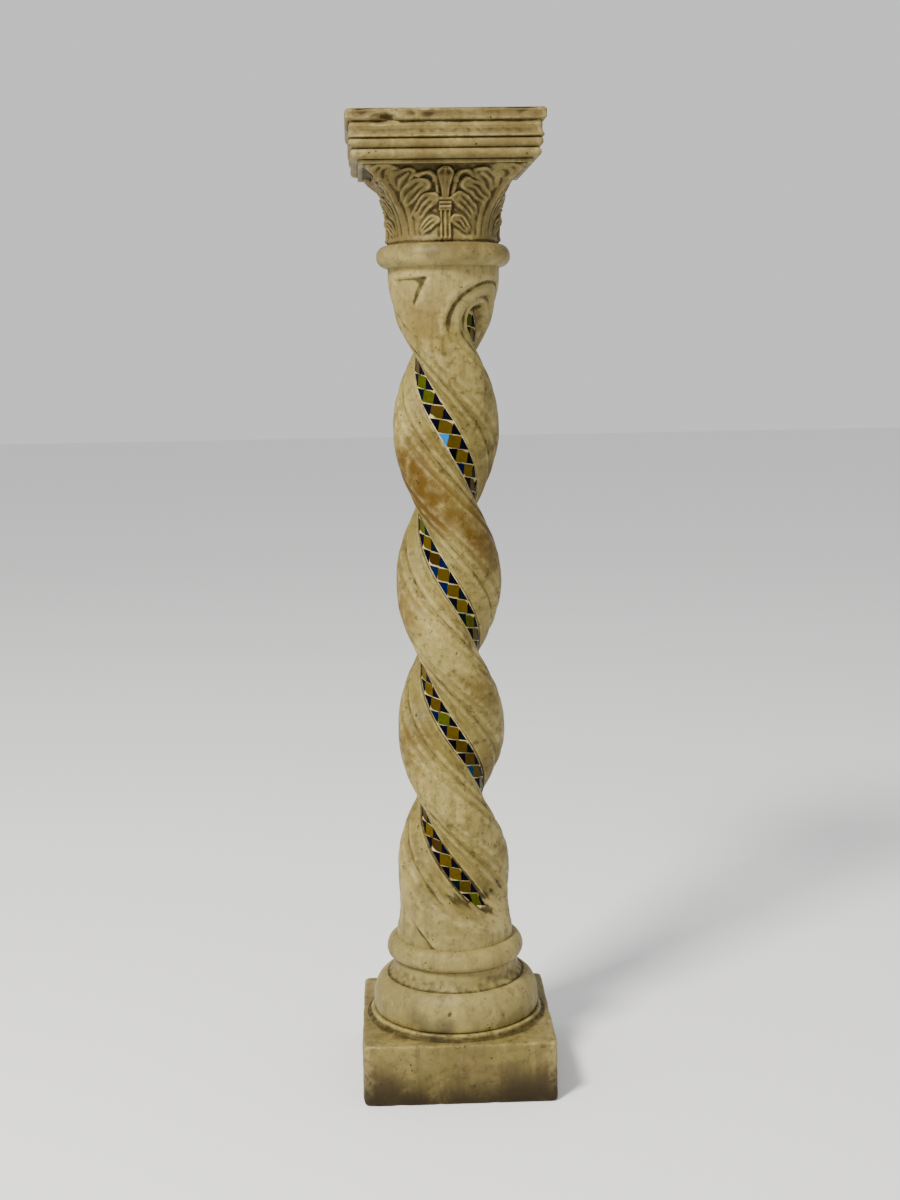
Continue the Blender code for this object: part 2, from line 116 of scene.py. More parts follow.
# Depth below the strand's crest, in degrees from the groove's centre line and millimetres: the mosaic's bed
# and its lip, a faint inner ridge, the deep hollow, a shoulder with a soft hollow, and the strand's own round
BED_ANGLE = 20.3
BED_MARGIN = 0.4 * MM
BED_BLEND_ANGLE = 12
LIP_ANGLE = 22
GROOVE_PROFILE = (
    (0, 26.6), (20.1, 26.4), (20.4, 24.4), (21, 23.1), (22.5, 22.3), (24, 22.0), (26, 21.7), (28, 20.6),
    (30, 19.2), (32, 18.1), (34, 17.3), (36, 16.2), (38, 14.6), (40, 13.0), (42, 11.9), (44, 11.4),
    (46, 11.3), (48, 11.3), (50, 10.8), (52, 9.0), (54, 7.0), (56, 5.6), (58, 4.8), (60, 4.4), (62, 4.2),
    (64, 4.1), (66, 3.5), (68, 2.5), (70, 1.7), (73, 1.1), (77, 0.6), (82, 0.2), (90, 0.0),
)

# The plainer sweep of the groove's head, where the fine mouldings melt into one hollow with an outer quirk
HEAD_PROFILE = (
    (0, 26.6), (20.1, 26.4), (21, 23.0), (23, 20.0), (26, 16.2), (29, 12.8), (32, 10.6), (35, 9.9),
    (38, 9.9), (42, 9.4), (46, 7.8), (52, 5.4), (58, 4.2), (64, 3.7), (69, 3.5), (72, 3.3), (75, 1.6),
    (78, 0.6), (83, 0.2), (90, 0.0),
)
HEAD_PROFILE_RISE = (84 * MM, 54 * MM)

# How much lower than half a circle the arch over the groove's head is
HEAD_ARCH_SQUASH = 1.2


def fade(value, start, end):
    """0 at start, 1 at end, smooth between."""
    share = np.clip((value - start) / (end - start), 0, 1)
    return share * share * (3 - 2 * share)


def span(value, start, full, last, end):
    """1 from full to last, 0 outside start and end, smooth between."""
    return fade(value, start, full) * (1 - fade(value, last, end))


def hump(value, middle, width):
    """1 in the middle, falling off smoothly on both sides."""
    return np.exp(-(((value - middle) / width) ** 2))


def half_round(value, radius):
    """Height of a half round rib, 1 in its middle."""
    return np.clip(1 - (value / radius) ** 2, 0, 1) ** 0.5


def signed(angle):
    """The same direction as an angle between half a turn back and half a turn on."""
    return (angle + math.pi) % (2 * math.pi) - math.pi


def around_axis(radius, angle, z):
    """Points at distances and angles from the column's axis."""
    return np.stack([radius * np.cos(angle), radius * np.sin(angle), z], axis=-1)


def smooth_table(points, count=1801, width=0.45):
    """A table of (angle, depth in millimetres) points as a fine curve with softened corners."""
    angles, depths = np.array(points).T * [[1], [MM]]
    fine = np.linspace(angles[0], angles[-1], count)
    step = fine[1] - fine[0]
    values = np.interp(fine, angles, depths)
    reach = int(3 * width / step)
    weights = np.exp(-0.5 * (np.arange(-reach, reach + 1) * step / width) ** 2)
    padded = np.concatenate([np.full(reach, values[0]), values, np.full(reach, values[-1])])
    return fine, np.convolve(padded, weights / weights.sum(), "valid")


PROFILE_ANGLES, PROFILE_DEPTHS = smooth_table(GROOVE_PROFILE)
_, HEAD_DEPTHS = smooth_table(HEAD_PROFILE)


def lumps(points, size, seed, count=14):
    """A smooth, uneven field of about -1 to 1 with lumps of a size in metres, the same each run."""
    random_numbers = np.random.default_rng(seed)
    directions = random_numbers.normal(size=(count, 3))
    directions /= np.linalg.norm(directions, axis=1)[:, None]
    lengths = 2 * math.pi / size * random_numbers.uniform(0.6, 1.6, count)
    phases = random_numbers.uniform(0, 2 * math.pi, count)
    waves = np.sin(points @ (directions * lengths[:, None]).T + phases)
    return waves.sum(axis=-1) / math.sqrt(count * 2)


def uneven(points, waves):
    """Lumps added up, each with its height and size in metres and its seed."""
    return sum(height * lumps(points, size, seed) for height, size, seed in waves)


def dent(points, centre, radius, depth):
    """Depth of a rounded chip or pit round a centre, at each point."""
    away = np.linalg.norm(points - np.array(centre), axis=-1) / radius
    return depth * np.clip(1 - away**2, 0, 1) ** 1.5


def crest_radius(z):
    """Radius of the strands' crests: widest at the foot, slimmest at the waist, wider again at the head."""
    up = z - SHAFT_FOOT
    waist = SHAFT_WAIST_SHARE * SHAFT_HEIGHT
    below = np.clip((waist - up) / waist, 0, None)
    above = np.clip((up - waist) / (SHAFT_HEIGHT - waist), 0, None)
    return (
        SHAFT_WAIST_RADIUS
        + (SHAFT_FOOT_RADIUS - SHAFT_WAIST_RADIUS) * below**TAPER_BELOW_WAIST
        + (SHAFT_HEAD_RADIUS - SHAFT_WAIST_RADIUS) * above**TAPER_ABOVE_WAIST
    )


def groove_angle(z):
    """Direction of the first groove's centre line, which faces the front, -Y, near one height. The twist is
    left-handed: it turns clockwise, seen from above, on its way up."""
    front = SHAFT_HEAD - FRONT_GROOVE_BELOW_HEAD
    shares, degrees = np.array(TWIST_DRIFT).T
    drift = np.radians(np.interp((z - SHAFT_FOOT) / SHAFT_HEIGHT, shares, degrees))
    return -math.pi / 2 - (z - front) / TWIST_LEAD * 2 * math.pi + drift


def groove_share(away, z):
    """How much of its full depth the groove has at degrees from its centre line: it runs out at the shaft's
    foot, its outer mouldings first."""
    rise = MOULDING_RISE_PER_DEGREE * np.maximum(away - LIP_ANGLE, 0)
    return fade(z - SHAFT_FOOT - rise, *GROOVE_FOOT_RISE)


def from_centre_line(turn, z):
    """Degrees from the nearer groove's centre line, for a point turned from the first one by turn. Past the
    groove's head the distance is taken all round its end, so the mouldings close over it in an arch."""
    past = HEAD_ARCH_SQUASH * (z - (SHAFT_HEAD - GROOVE_HEAD_MARGIN))
    nearest = np.inf
    for groove in (0, math.pi):
        aside = signed(turn - groove)
        across = UNROLL_RADIUS * aside * math.cos(TWIST_STEEPNESS)
        along = past / math.cos(TWIST_STEEPNESS) - UNROLL_RADIUS * aside * math.sin(TWIST_STEEPNESS)
        away = np.hypot(across, np.maximum(along, 0))
        degrees = np.degrees(away / (UNROLL_RADIUS * math.cos(TWIST_STEEPNESS)))
        nearest = np.minimum(nearest, degrees)
    return nearest


def bed_reading(away, z):
    """Angle at which the profile is read: near the bed it is shifted, so that the bed keeps the mosaic's
    width wherever the mosaic's face lies."""
    edge = np.degrees(np.arctan2(mosaic_half_width(z) + BED_MARGIN, mosaic_face(z)))
    shift = BED_ANGLE - edge
    return away + shift * (1 - fade(away, edge, edge + BED_BLEND_ANGLE + 2 * np.abs(shift)))


def shaft_radius(turn, z):
    """Radius of the carved shaft at a turn from the first groove."""
    away = from_centre_line(turn, z)
    reading = bed_reading(away, z)
    depth = np.interp(reading, PROFILE_ANGLES, PROFILE_DEPTHS)
    plain = fade(SHAFT_HEAD - z, *HEAD_PROFILE_RISE)
    depth = depth + plain * (np.interp(reading, PROFILE_ANGLES, HEAD_DEPTHS) - depth)
    return crest_radius(z) - groove_share(away, z) * depth


def mosaic_face(z):
    """Distance of the mosaic's face from the axis."""
    return crest_radius(z) - groove_share(0, z) * GROOVE_FLOOR_DEPTH


def mosaic_half_width(z):
    """Half the mosaic's width, which narrows to a blunt point at its foot."""
    share = np.clip((z - MOSAIC_FOOT) / MOSAIC_POINT_LENGTH, 0, 1)
    spread = fade((z - SHAFT_FOOT) / SHAFT_HEIGHT, *MOSAIC_SPREAD_SHARES)
    width = MOSAIC_WIDTH + (MOSAIC_HEAD_WIDTH - MOSAIC_WIDTH) * spread
    return width / 2 * (MOSAIC_POINT_SHARE + (1 - MOSAIC_POINT_SHARE) * share)


def curvature(grid):
    """How hollow (above 0) or proud (below 0) each point of a closed grid lies among its neighbours, as
    a height in metres over about two grid steps."""
    normals = np.cross(np.roll(grid, -1, 1) - np.roll(grid, 1, 1), np.gradient(grid, axis=0))
    normals /= np.linalg.norm(normals, axis=2)[:, :, None] + 1e-12
    total = 0
    for step in (1, 2, 4):
        around = (np.roll(grid, step, 1) + np.roll(grid, -step, 1)) / 2
        down = np.concatenate([grid[:1].repeat(step, 0), grid[:-step]])
        above = np.concatenate([grid[step:], grid[-1:].repeat(step, 0)])
        middle = (around * 2 + down + above) / 4
        total = total + ((middle - grid) * normals).sum(axis=2)
    return total


def piece_from_grid(name, grid, hollow_scale):
    """A closed mesh through the rows of a grid, each a closed ring, with flat ends. A colour attribute
    holds how hollow (red) and how proud (green) the surface is, for dirt and painted shade in the hollows
    and for rubbed edges and painted highlights on the proud parts."""
    rows, count = grid.shape[:2]
    first = np.arange(rows - 1)[:, None] * count + np.arange(count)
    following = np.arange(rows - 1)[:, None] * count + (np.arange(count) + 1) % count
    quads = np.stack([first, following, following + count, first + count], axis=2).reshape(-1, 4)
    faces = [*map(tuple, quads.tolist())]
    faces.append(tuple(range(count))[::-1])
    faces.append(tuple(range((rows - 1) * count, rows * count)))
    mesh = bpy.data.meshes.new(name)
    mesh.from_pydata(grid.reshape(-1, 3).tolist(), [], faces)
    mesh.polygons.foreach_set("use_smooth", [True] * (len(faces) - 2) + [False] * 2)
    hollow = curvature(grid).reshape(-1) / hollow_scale
    colours = np.ones((rows * count, 4), np.float32)
    colours[:, 0] = np.clip(hollow, 0, 1)
    colours[:, 1] = np.clip(-hollow, 0, 1)
    colours[:, 2] = 0
    layer = mesh.color_attributes.new("relief", "FLOAT_COLOR", "POINT")
    layer.data.foreach_set("color", colours.reshape(-1))
    mesh.update()
    return placed(name, mesh)


def placed(name, data):
    """A new object of the scene with this mesh, light or camera."""
    item = bpy.data.objects.new(name, data)
    bpy.context.scene.collection.objects.link(item)
    return item


def arc(centre, radii, start, end, steps):
    """Points of an elliptical arc in an outline, from start to end degrees, where 90 is straight up."""
    angles = np.radians(np.linspace(start, end, steps + 1))
    return [(centre[0] + radii[0] * math.cos(a), centre[1] + radii[1] * math.sin(a)) for a in angles]


def evenly(outline, spacing):
    """Points along an outline at about even spacing, its corners kept."""
    result = [outline[0]]
    for start, end in zip(outline, outline[1:]):
        length = math.dist(start, end)
        steps = max(1, round(length / spacing))
        for i in range(1, steps + 1):
            share = i / steps
            result.append(tuple(a + (b - a) * share for a, b in zip(start, end)))
    return np.array(result)


def square_reach(angles, half, corner):
    """Distance from the axis to a square of a half width with rounded corners, at each angle."""
    away = np.abs((angles + math.pi / 4) % (math.pi / 2) - math.pi / 4)
    flat = half / np.cos(away)
    centre = half - corner
    diagonal = math.pi / 4 - away
    along = centre * math.sqrt(2) * np.cos(diagonal)
    inside = corner**2 - (centre * math.sqrt(2) * np.sin(diagonal)) ** 2
    rounded = along + np.sqrt(np.clip(inside, 0, None))
    return np.where((inside > 0) & (flat * np.sin(away) > centre), rounded, flat)


def ring_grid(rows, angles):
    """Points of rows that each have a distance from the axis at every angle, and one height."""
    reach = np.array([reach for reach, _ in rows])
    level = np.array([z for _, z in rows])[:, None] + np.zeros(len(angles))
    return around_axis(reach, angles, level)


# The shaft's mesh. Its columns of points lie in runs over the bed, the mouldings and the strand's round, each
# run from and to an angle off the groove's centre line. Round the groove's head they even out, and the rows
# lie closer. The bed stays smooth, and the stone over it is uneven.
SHAFT_COLUMN_RUNS = ((0, 19.2, 4), (20, 65, 44), (66.4, 90, 17))
SHAFT_ROWS = 300
HEAD_ZONE_ROWS = 60
HEAD_ZONE_HEIGHT = 72 * MM
EVENING_HEIGHTS = (-4 * MM, 20 * MM)
SHAFT_INTO_FOOT = 8 * MM
SHAFT_INTO_RING = 6 * MM
SHAFT_LUMPS = ((0.35 * MM, 60 * MM, 3), (0.16 * MM, 17 * MM, 4))
LUMPS_OVER_BED = (1 * MM, 5 * MM)


def shaft_columns():
    """Angles of the shaft's columns of points."""
    half = np.concatenate([np.linspace(*run) for run in SHAFT_COLUMN_RUNS])
    turns = []
    for groove in (0, 180):
        turns += [groove + angle for angle in half[:-1]]
        turns += [groove + 180 - angle for angle in half[:0:-1]]
    return np.radians(turns)


def make_shaft():
    """The twisted shaft with its grooves, from inside the foot to inside the neck ring."""
    head_zone = SHAFT_HEAD - HEAD_ZONE_HEIGHT
    low = np.linspace(SHAFT_FOOT - SHAFT_INTO_FOOT, head_zone, SHAFT_ROWS)
    high = np.linspace(head_zone, SHAFT_HEAD + SHAFT_INTO_RING, HEAD_ZONE_ROWS)
    turn, z = np.meshgrid(shaft_columns(), [*low, *high[1:]])
    even = np.linspace(0, 2 * math.pi, turn.shape[1], endpoint=False)
    turn = turn + (even - turn) * fade(z, *(head_zone + height for height in EVENING_HEIGHTS))
    angle = groove_angle(z) + turn
    radius = shaft_radius(turn, z)
    radius -= head_facet(angle, z) + foot_step(angle, z)
    stone_share = fade(radius, *(mosaic_face(z) + height for height in LUMPS_OVER_BED))
    radius = radius + uneven(around_axis(radius, angle, z), SHAFT_LUMPS) * stone_share
    return piece_from_grid("column_shaft", around_axis(radius, angle, z), hollow_scale=1.15 * MM)


# The sunk facets under the neck ring: their directions in degrees, how far below the ring their top lies, how
# far aside their left and right edges start and how much these slant, and their depth
FACET_DIRECTIONS = (-131, 49)
FACET_TOP = 10.5 * MM
FACET_LEFT = 28 * MM
FACET_LEFT_SLANT = 1.2
FACET_LEFT_STRETCH = 1.56
FACET_RIGHT = 22.5 * MM
FACET_RIGHT_SLANT = 0.62
FACET_RIGHT_BOW = 0.0028 / MM
FACET_TOP_EDGE = (0, 1.2 * MM)
FACET_LEFT_EDGE = (-1 * MM, 3 * MM)
FACET_RIGHT_EDGE = (-0.6 * MM, 1.2 * MM)
FACET_DEPTH = 0.9 * MM
FACET_FALL = 0.065


def head_facet(angle, z):
    """Depth of the three-cornered sunk facet under the neck ring between the strands, on both sides of the
    shaft: crisp along its top and its right edge, and hinged on its slanting left side."""
    depth = 0
    for direction in FACET_DIRECTIONS:
        aside = signed(angle - math.radians(direction)) * SHAFT_HEAD_RADIUS
        below = SHAFT_HEAD - FACET_TOP - z
        left = (aside + FACET_LEFT - FACET_LEFT_SLANT * below) / FACET_LEFT_STRETCH
        right = FACET_RIGHT - aside - FACET_RIGHT_SLANT * below + FACET_RIGHT_BOW * below**2
        inside = fade(below, *FACET_TOP_EDGE) * fade(right, *FACET_RIGHT_EDGE) * fade(left, *FACET_LEFT_EDGE)
        depth = depth + (FACET_DEPTH + FACET_FALL * np.clip(left, 0, FACET_LEFT)) * inside
    return depth


# The soft hollow where a strand runs out over the torus: its directions in degrees, its height over the
# shaft's foot, the slant of its crisp upper edge, where it starts and ends across and along, and its depth
STEP_DIRECTIONS = (-124.5, 55.5)
STEP_HEIGHT = 14 * MM
STEP_SLANT = (0.70, 0.71)
STEP_ACROSS = (-1.6 * MM, 1.4 * MM, 3 * MM, 17 * MM)
STEP_ALONG = (-26 * MM, -2 * MM, 17 * MM, 24 * MM)
STEP_DEPTH = 2.1 * MM


def foot_step(angle, z):
    """Depth of the soft hollow where each strand runs out over the torus."""
    depth = 0
    for direction in STEP_DIRECTIONS:
        aside = signed(angle - math.radians(direction)) * SHAFT_FOOT_RADIUS
        up = z - SHAFT_FOOT - STEP_HEIGHT
        below_edge = -(STEP_SLANT[0] * aside + STEP_SLANT[1] * up)
        along = STEP_SLANT[1] * aside - STEP_SLANT[0] * up
        depth = depth + STEP_DEPTH * span(below_edge, *STEP_ACROSS) * span(along, *STEP_ALONG)
    return depth


# Damage on the plinth's front face, each as place along x and z, radius and depth in millimetres, and pits
# in the tori, each as degrees round the axis, height, radius and depth
PLINTH_CHIPS = (
    (-62, 0, 9, 1.2), (-22, 0, 6, 0.9), (34, 0, 7, 0.9), (-88, 60, 10, 1.2), (-70, 63, 8, 1.0),
    (-40, 63, 10, 0.8), (52, 63, 12, 0.9), (86, 62, 9, 1.2),
)
TORUS_PITS = (
    (-97, 89, 2.6, 2.2), (-96, 91, 3, 1.2), (-115, 84, 3.2, 1.3), (-101, 80, 4.5, 1.0), (-67, 90, 6, 0.8),
    (-72, 101, 4, 0.6), (-58, 84, 5, 1), (-120, 136, 4, 0.8), (-113, 133, 3.5, 0.9), (-106, 130, 3, 0.6),
    (-75, 128, 3, 0.5), (60, 90, 5, 1.2), (150, 84, 4, 1), (100, 134, 4, 0.8), (20, 98, 4, 0.8),
)
LOWER_PIT_REACH = LOWER_TORUS_RADIUS - 2.5 * MM
UPPER_PIT_REACH = UPPER_TORUS_RADIUS - 1 * MM

# The plinth's rounded edges and corners, and the wear of its faces, of which the shallowest part is spared
FOOT_COLUMNS = 320
PLINTH_EDGE = 3.2 * MM
PLINTH_CORNER = 5 * MM
UNDERSIDE_CORNER = 4 * MM
FOOT_WEAR = ((0.4 * MM, 45 * MM, 5), (0.2 * MM, 12 * MM, 6))
FOOT_WEAR_SPARED = 0.24 * MM


def base_outline():
    """Profile of the turned base mouldings, from the plinth's top to inside the shaft."""
    fillet = FOOT_FILLET_RADIUS
    undercut = LOWER_TORUS_RADIUS - LOWER_TORUS_UNDERCUT
    belly = FILLET_TOP + LOWER_TORUS_BELLY_SHARE * LOWER_TORUS_HEIGHT
    slope, neck = SLOPE_FOOT_RADIUS, SLOPE_NECK_RADIUS
    neck_level = TORUS_TOP + SLOPE_NECK_SHARE * SLOPE_HEIGHT
    upper_belly = SLOPE_TOP + UPPER_TORUS_BELLY_SHARE * UPPER_TORUS_HEIGHT
    crown = (UPPER_TORUS_DEPTH, SHAFT_FOOT + 1 * MM - upper_belly)
    return [
        *arc((fillet + 5 * MM, PLINTH_HEIGHT + 4.4 * MM), (5 * MM, 4.2 * MM), -88, -180, 5),
        (fillet - 0.2 * MM, FILLET_TOP - 0.9 * MM),
        (fillet - 1.2 * MM, FILLET_TOP - 0.2 * MM),
        (fillet - 2.6 * MM, FILLET_TOP),
        (undercut - 0.6 * MM, FILLET_TOP - 0.7 * MM),
        *arc((undercut, belly), (LOWER_TORUS_UNDERCUT, belly - FILLET_TOP), -78, 0, 8),
        *arc((slope, belly), (LOWER_TORUS_RADIUS - slope, TORUS_TOP - belly), 4, 84, 20),
        (slope + 0.6 * MM, TORUS_TOP - 0.6 * MM),
        (slope - 0.6 * MM, TORUS_TOP + 0.4 * MM),
        *arc((slope + 3 * MM, neck_level), (9 * MM, neck_level - TORUS_TOP), 232, 180, 8),
        (neck - 0.2 * MM, SLOPE_TOP - 2 * MM),
        (neck - 1.2 * MM, SLOPE_TOP - 0.4 * MM),
        *arc((neck, upper_belly), (UPPER_TORUS_RADIUS - neck, upper_belly - SLOPE_TOP), -78, -4, 12),
        *arc((UPPER_TORUS_RADIUS - UPPER_TORUS_DEPTH, upper_belly), crown, 0, 86, 16),
        (SHAFT_FOOT_RADIUS - 4 * MM, SHAFT_FOOT + 1 * MM),
    ]


def plinth_rows(angles):
    """Rows of points with their heights, from the plinth's underside over its sides to its top."""
    half = PLINTH_WIDTH / 2
    edge = PLINTH_EDGE
    flat = half - edge
    outline = [(half - 12 * MM, 0), (flat, 0), *arc((flat, edge), (edge, edge), -75, 0, 4)]
    outline += [(half, z) for z in np.linspace(edge + 2 * MM, PLINTH_HEIGHT - edge, 28)]
    outline += arc((flat, PLINTH_HEIGHT - edge), (edge, edge), 15, 90, 5)
    rows = []
    for reach, z in outline:
        rows.append((square_reach(angles, reach, PLINTH_CORNER if z > 0 else UNDERSIDE_CORNER), z))
    start = square_reach(angles, flat, PLINTH_CORNER)
    for share in np.linspace(0.12, 1, 9):
        rows.append((start + (FOOT_FILLET_RADIUS + 5.4 * MM - start) * share, PLINTH_HEIGHT))
    return rows


def make_foot():
    """The plinth and the turned base mouldings, as one piece from the underside to inside the shaft."""
    angles = 2 * math.pi * (np.arange(FOOT_COLUMNS) + 0.5) / FOOT_COLUMNS
    rows = plinth_rows(angles)
    for radius, z in evenly(base_outline(), spacing=1.25 * MM):
        rows.append((np.full(FOOT_COLUMNS, radius), z))
    grid = ring_grid(rows, angles)
    outward = grid * (1, 1, 0)
    outward /= np.linalg.norm(outward, axis=2)[:, :, None]
    half = PLINTH_WIDTH / 2
    worn = np.minimum(uneven(grid, FOOT_WEAR) - FOOT_WEAR_SPARED, 0) * fade(grid[:, :, 2], 0, 3 * MM)
    worn -= dent(grid * (1, 1, 0), (-half, -half, 0), radius=16 * MM, depth=2 * MM)
    grid = grid + outward * worn[:, :, None]
    for x, z, radius, depth in PLINTH_CHIPS:
        hit = dent(grid, (x * MM, -half, z * MM), radius * MM, depth * MM)
        grid[:, :, 1] += hit * (grid[:, :, 1] < 0)
    on_torus = (grid[:, :, 2] > PLINTH_HEIGHT + 4 * MM)[:, :, None]
    for degrees, z, radius, depth in TORUS_PITS:
        reach = LOWER_PIT_REACH if z * MM < TORUS_TOP else UPPER_PIT_REACH
        spot = around_axis(reach, math.radians(degrees), z * MM)
        grid = grid - outward * on_torus * dent(grid, spot, radius * MM, depth * MM)[:, :, None]
    return piece_from_grid("column_foot", grid, hollow_scale=1.9 * MM)


# Leaf lobes on half a face of the bell: root and tip, each as distance from the face's middle along the
# bell's foot circle and share of the bell's height, then width
LEAF_LOBES = (
    ((26 * MM, 0.11), (6 * MM, 0.32), 13 * MM),
    ((31 * MM, 0.30), (7 * MM, 0.62), 15 * MM),
    ((40 * MM, 0.47), (14 * MM, 0.80), 15 * MM),
    ((38 * MM, 0.64), (23.5 * MM, 0.95), 13 * MM),
    ((42 * MM, 0.77), (33.5 * MM, 1.0), 9.5 * MM),
)
LEAF_BOW = 2.4 * MM
LEAF_GOUGES = (-0.34, 0.30)
LEAF_GOUGE_DEPTH = 1.7 * MM
LEAF_ROOT_HEIGHT = 1.3 * MM
LEAF_RISE = 2.8 * MM
LEAF_CURL = 1.3 * MM
STEM_TOP = 30.1 * MM
STEM_HALF_WIDTH = 4.3 * MM
STEM_RIM = 2.9 * MM
STEM_RIB = 1.7 * MM
STEM_GROUND = 0.9 * MM
TIE_TOP = 42.2 * MM
TIE_ENDS = (5.2 * MM, 6.8 * MM)
TIE_HEIGHT = 4.2 * MM
TIE_GROOVES = (31.4 * MM, 35.2 * MM, 38.9 * MM)
TIE_GROOVE_DEPTH = 1.9 * MM

# The lily: half the width of its middle petal at heights over the bell's foot, in millimetres, where that
# petal starts and ends, its relief at its foot and what it gains to its tip, and its side petals and stalks
PETAL_OUTLINE = ((40, 3.2), (48, 3.5), (53, 4.4), (59, 6.0), (64, 7.6), (66.5, 7.2), (69.5, 4.0), (71.5, 0.3))
PETAL_ENDS = (40 * MM, 42 * MM, 70 * MM, 72 * MM)
PETAL_HEIGHT = 2.2 * MM
PETAL_RISE = 2.3 * MM
PETAL_RIM = 0.8 * MM
PETAL_RIM_RISE = 0.4 * MM
PETAL_RIB = 0.9 * MM
SIDE_PETAL = {"centre": (15.4 * MM, 58.5 * MM), "radius": 7 * MM, "width": 5.4 * MM, "start": 20, "end": 205}
SIDE_PETAL_HEIGHT = 5.0 * MM
STALK_RADIUS = 1.9 * MM
STALK_ENDS = (42 * MM, 46 * MM, 56 * MM, 59 * MM)
STALK_HEIGHT = 3.2 * MM

# How far the carved lines wander
WANDER = 1.1 * MM


def lobe(across, up, root, tip, width):
    """Height of one leaf lobe over the bell: it bows over towards the face's middle, widens to a rounded,
    curled tip, and has narrow gouges along its length."""
    run = (tip[0] - root[0], tip[1] - root[1])
    reach = math.hypot(*run)
    along = ((across - root[0]) * run[0] + (up - root[1]) * run[1]) / reach**2
    aside = ((across - root[0]) * run[1] - (up - root[1]) * run[0]) / reach
    aside = aside - LEAF_BOW * np.sin(math.pi * np.clip(along, 0, 1.15))
    spread = width / 2 * (0.5 + 0.5 * fade(along, -0.1, 0.6))
    past = np.maximum((along - 1) * reach + 0.8 * spread, 0)
    away = np.hypot(aside, past) / spread
    inside = 1 - fade(away, 0.80, 1.02)
    height = (LEAF_ROOT_HEIGHT + LEAF_RISE * np.clip(along, 0, 1) ** 1.6) * (1 - 0.3 * away**2)
    gouge = sum(hump(aside / spread, place, 0.20) for place in LEAF_GOUGES)
    height = height - LEAF_GOUGE_DEPTH * gouge * span(along, 0.05, 0.4, 0.62, 0.88)
    curled = hump(away, 0.68, 0.24) * fade(along, 0.70, 0.95)
    return (height + LEAF_CURL * curled) * inside * fade(along, 0, 0.2)


def curl(across, up, centre, radius, width, start, end):
    """Height of a curled rib along part of a circle, from start to end degrees."""
    x, y = across - centre[0], up - centre[1]
    angle = np.degrees(np.arctan2(y, x)) % 360
    inside = span(angle, start - 8, start + 4, end - 4, end + 8)
    return half_round(np.hypot(x, y) - radius, width / 2) * inside


def lily(across, up):
    """Height of the lily: a spade-shaped middle petal with raised rims, and side petals that curl outward
    and down."""
    heights, halves = np.array(PETAL_OUTLINE).T * MM
    share = across / np.interp(up, heights, halves)
    inside = (1 - fade(share, 0.86, 1.1)) * span(up, *PETAL_ENDS)
    rise = np.clip((up - 41 * MM) / (28 * MM), 0, 1)
    rim = (PETAL_RIM + PETAL_RIM_RISE * rise) * hump(share, 0.78, 0.26)
    height = (PETAL_HEIGHT + PETAL_RISE * rise + rim + PETAL_RIB * hump(across, 0, 1.1 * MM)) * inside
    height = np.maximum(height, SIDE_PETAL_HEIGHT * curl(across, up, **SIDE_PETAL))
    stalk = half_round(across - 7.4 * MM - 0.10 * (up - 50 * MM), STALK_RADIUS) * span(up, *STALK_ENDS)
    return np.maximum(height, STALK_HEIGHT * stalk)


def stem(across, up):
    """Height of the stem, with a raised rim on each side and a rib in its middle, and of the tie over it."""
    height = STEM_RIM * hump(across, STEM_HALF_WIDTH, 0.95 * MM) + STEM_RIB * hump(across, 0, 1.3 * MM)
    height = (height + STEM_GROUND * (across < STEM_HALF_WIDTH)) * (1 - fade(up, STEM_TOP, TIE_TOP))
    tied = span(up, STEM_TOP - 1 * MM, STEM_TOP + 0.6 * MM, TIE_TOP - 0.6 * MM, TIE_TOP + 1 * MM)
    tied = tied * (1 - fade(across, *TIE_ENDS))
    lines = sum(hump(up, line, 0.75 * MM) for line in TIE_GROOVES)
    return np.maximum(height, (TIE_HEIGHT - TIE_GROOVE_DEPTH * lines) * tied)


def leaf_relief(angles, face_angle, share):
    """Carving over the bell's ground: half leaves on both sides of a tied stem that ends in a lily. The
    lines wander a little, as a hand carved them, and differently on each face."""
    spots = around_axis(1, angles, share * BELL_HEIGHT / BELL_FOOT_RADIUS) * BELL_FOOT_RADIUS
    wander = WANDER * fade(np.abs(face_angle), math.radians(4), math.radians(10))
    across = np.abs(face_angle) * BELL_FOOT_RADIUS + wander * lumps(spots, size=16 * MM, seed=12)
    up = share * BELL_HEIGHT + wander * lumps(spots, size=15 * MM, seed=13)
    height = np.maximum(stem(across, up), lily(across, up))
    for root, tip, width in LEAF_LOBES:
        ends = ((root[0], root[1] * BELL_HEIGHT), (tip[0], tip[1] * BELL_HEIGHT))
        height = np.maximum(height, lobe(across, up, *ends, width))
    return height * span(share, 0.01, 0.06, 1.0, 1.04)


# The bell's ground: the rib and furrow of its corner leaves and the soft folds beside them, and how deep it
# is sunk behind the leaves and behind their tips
CORNER_RIB = 1.3 * MM
CORNER_FURROW = 1.0 * MM
CORNER_FOLDS = 0.45 * MM
BELL_SUNK = 1.2 * MM
BELL_SUNK_BEHIND_TIPS = 2.6 * MM


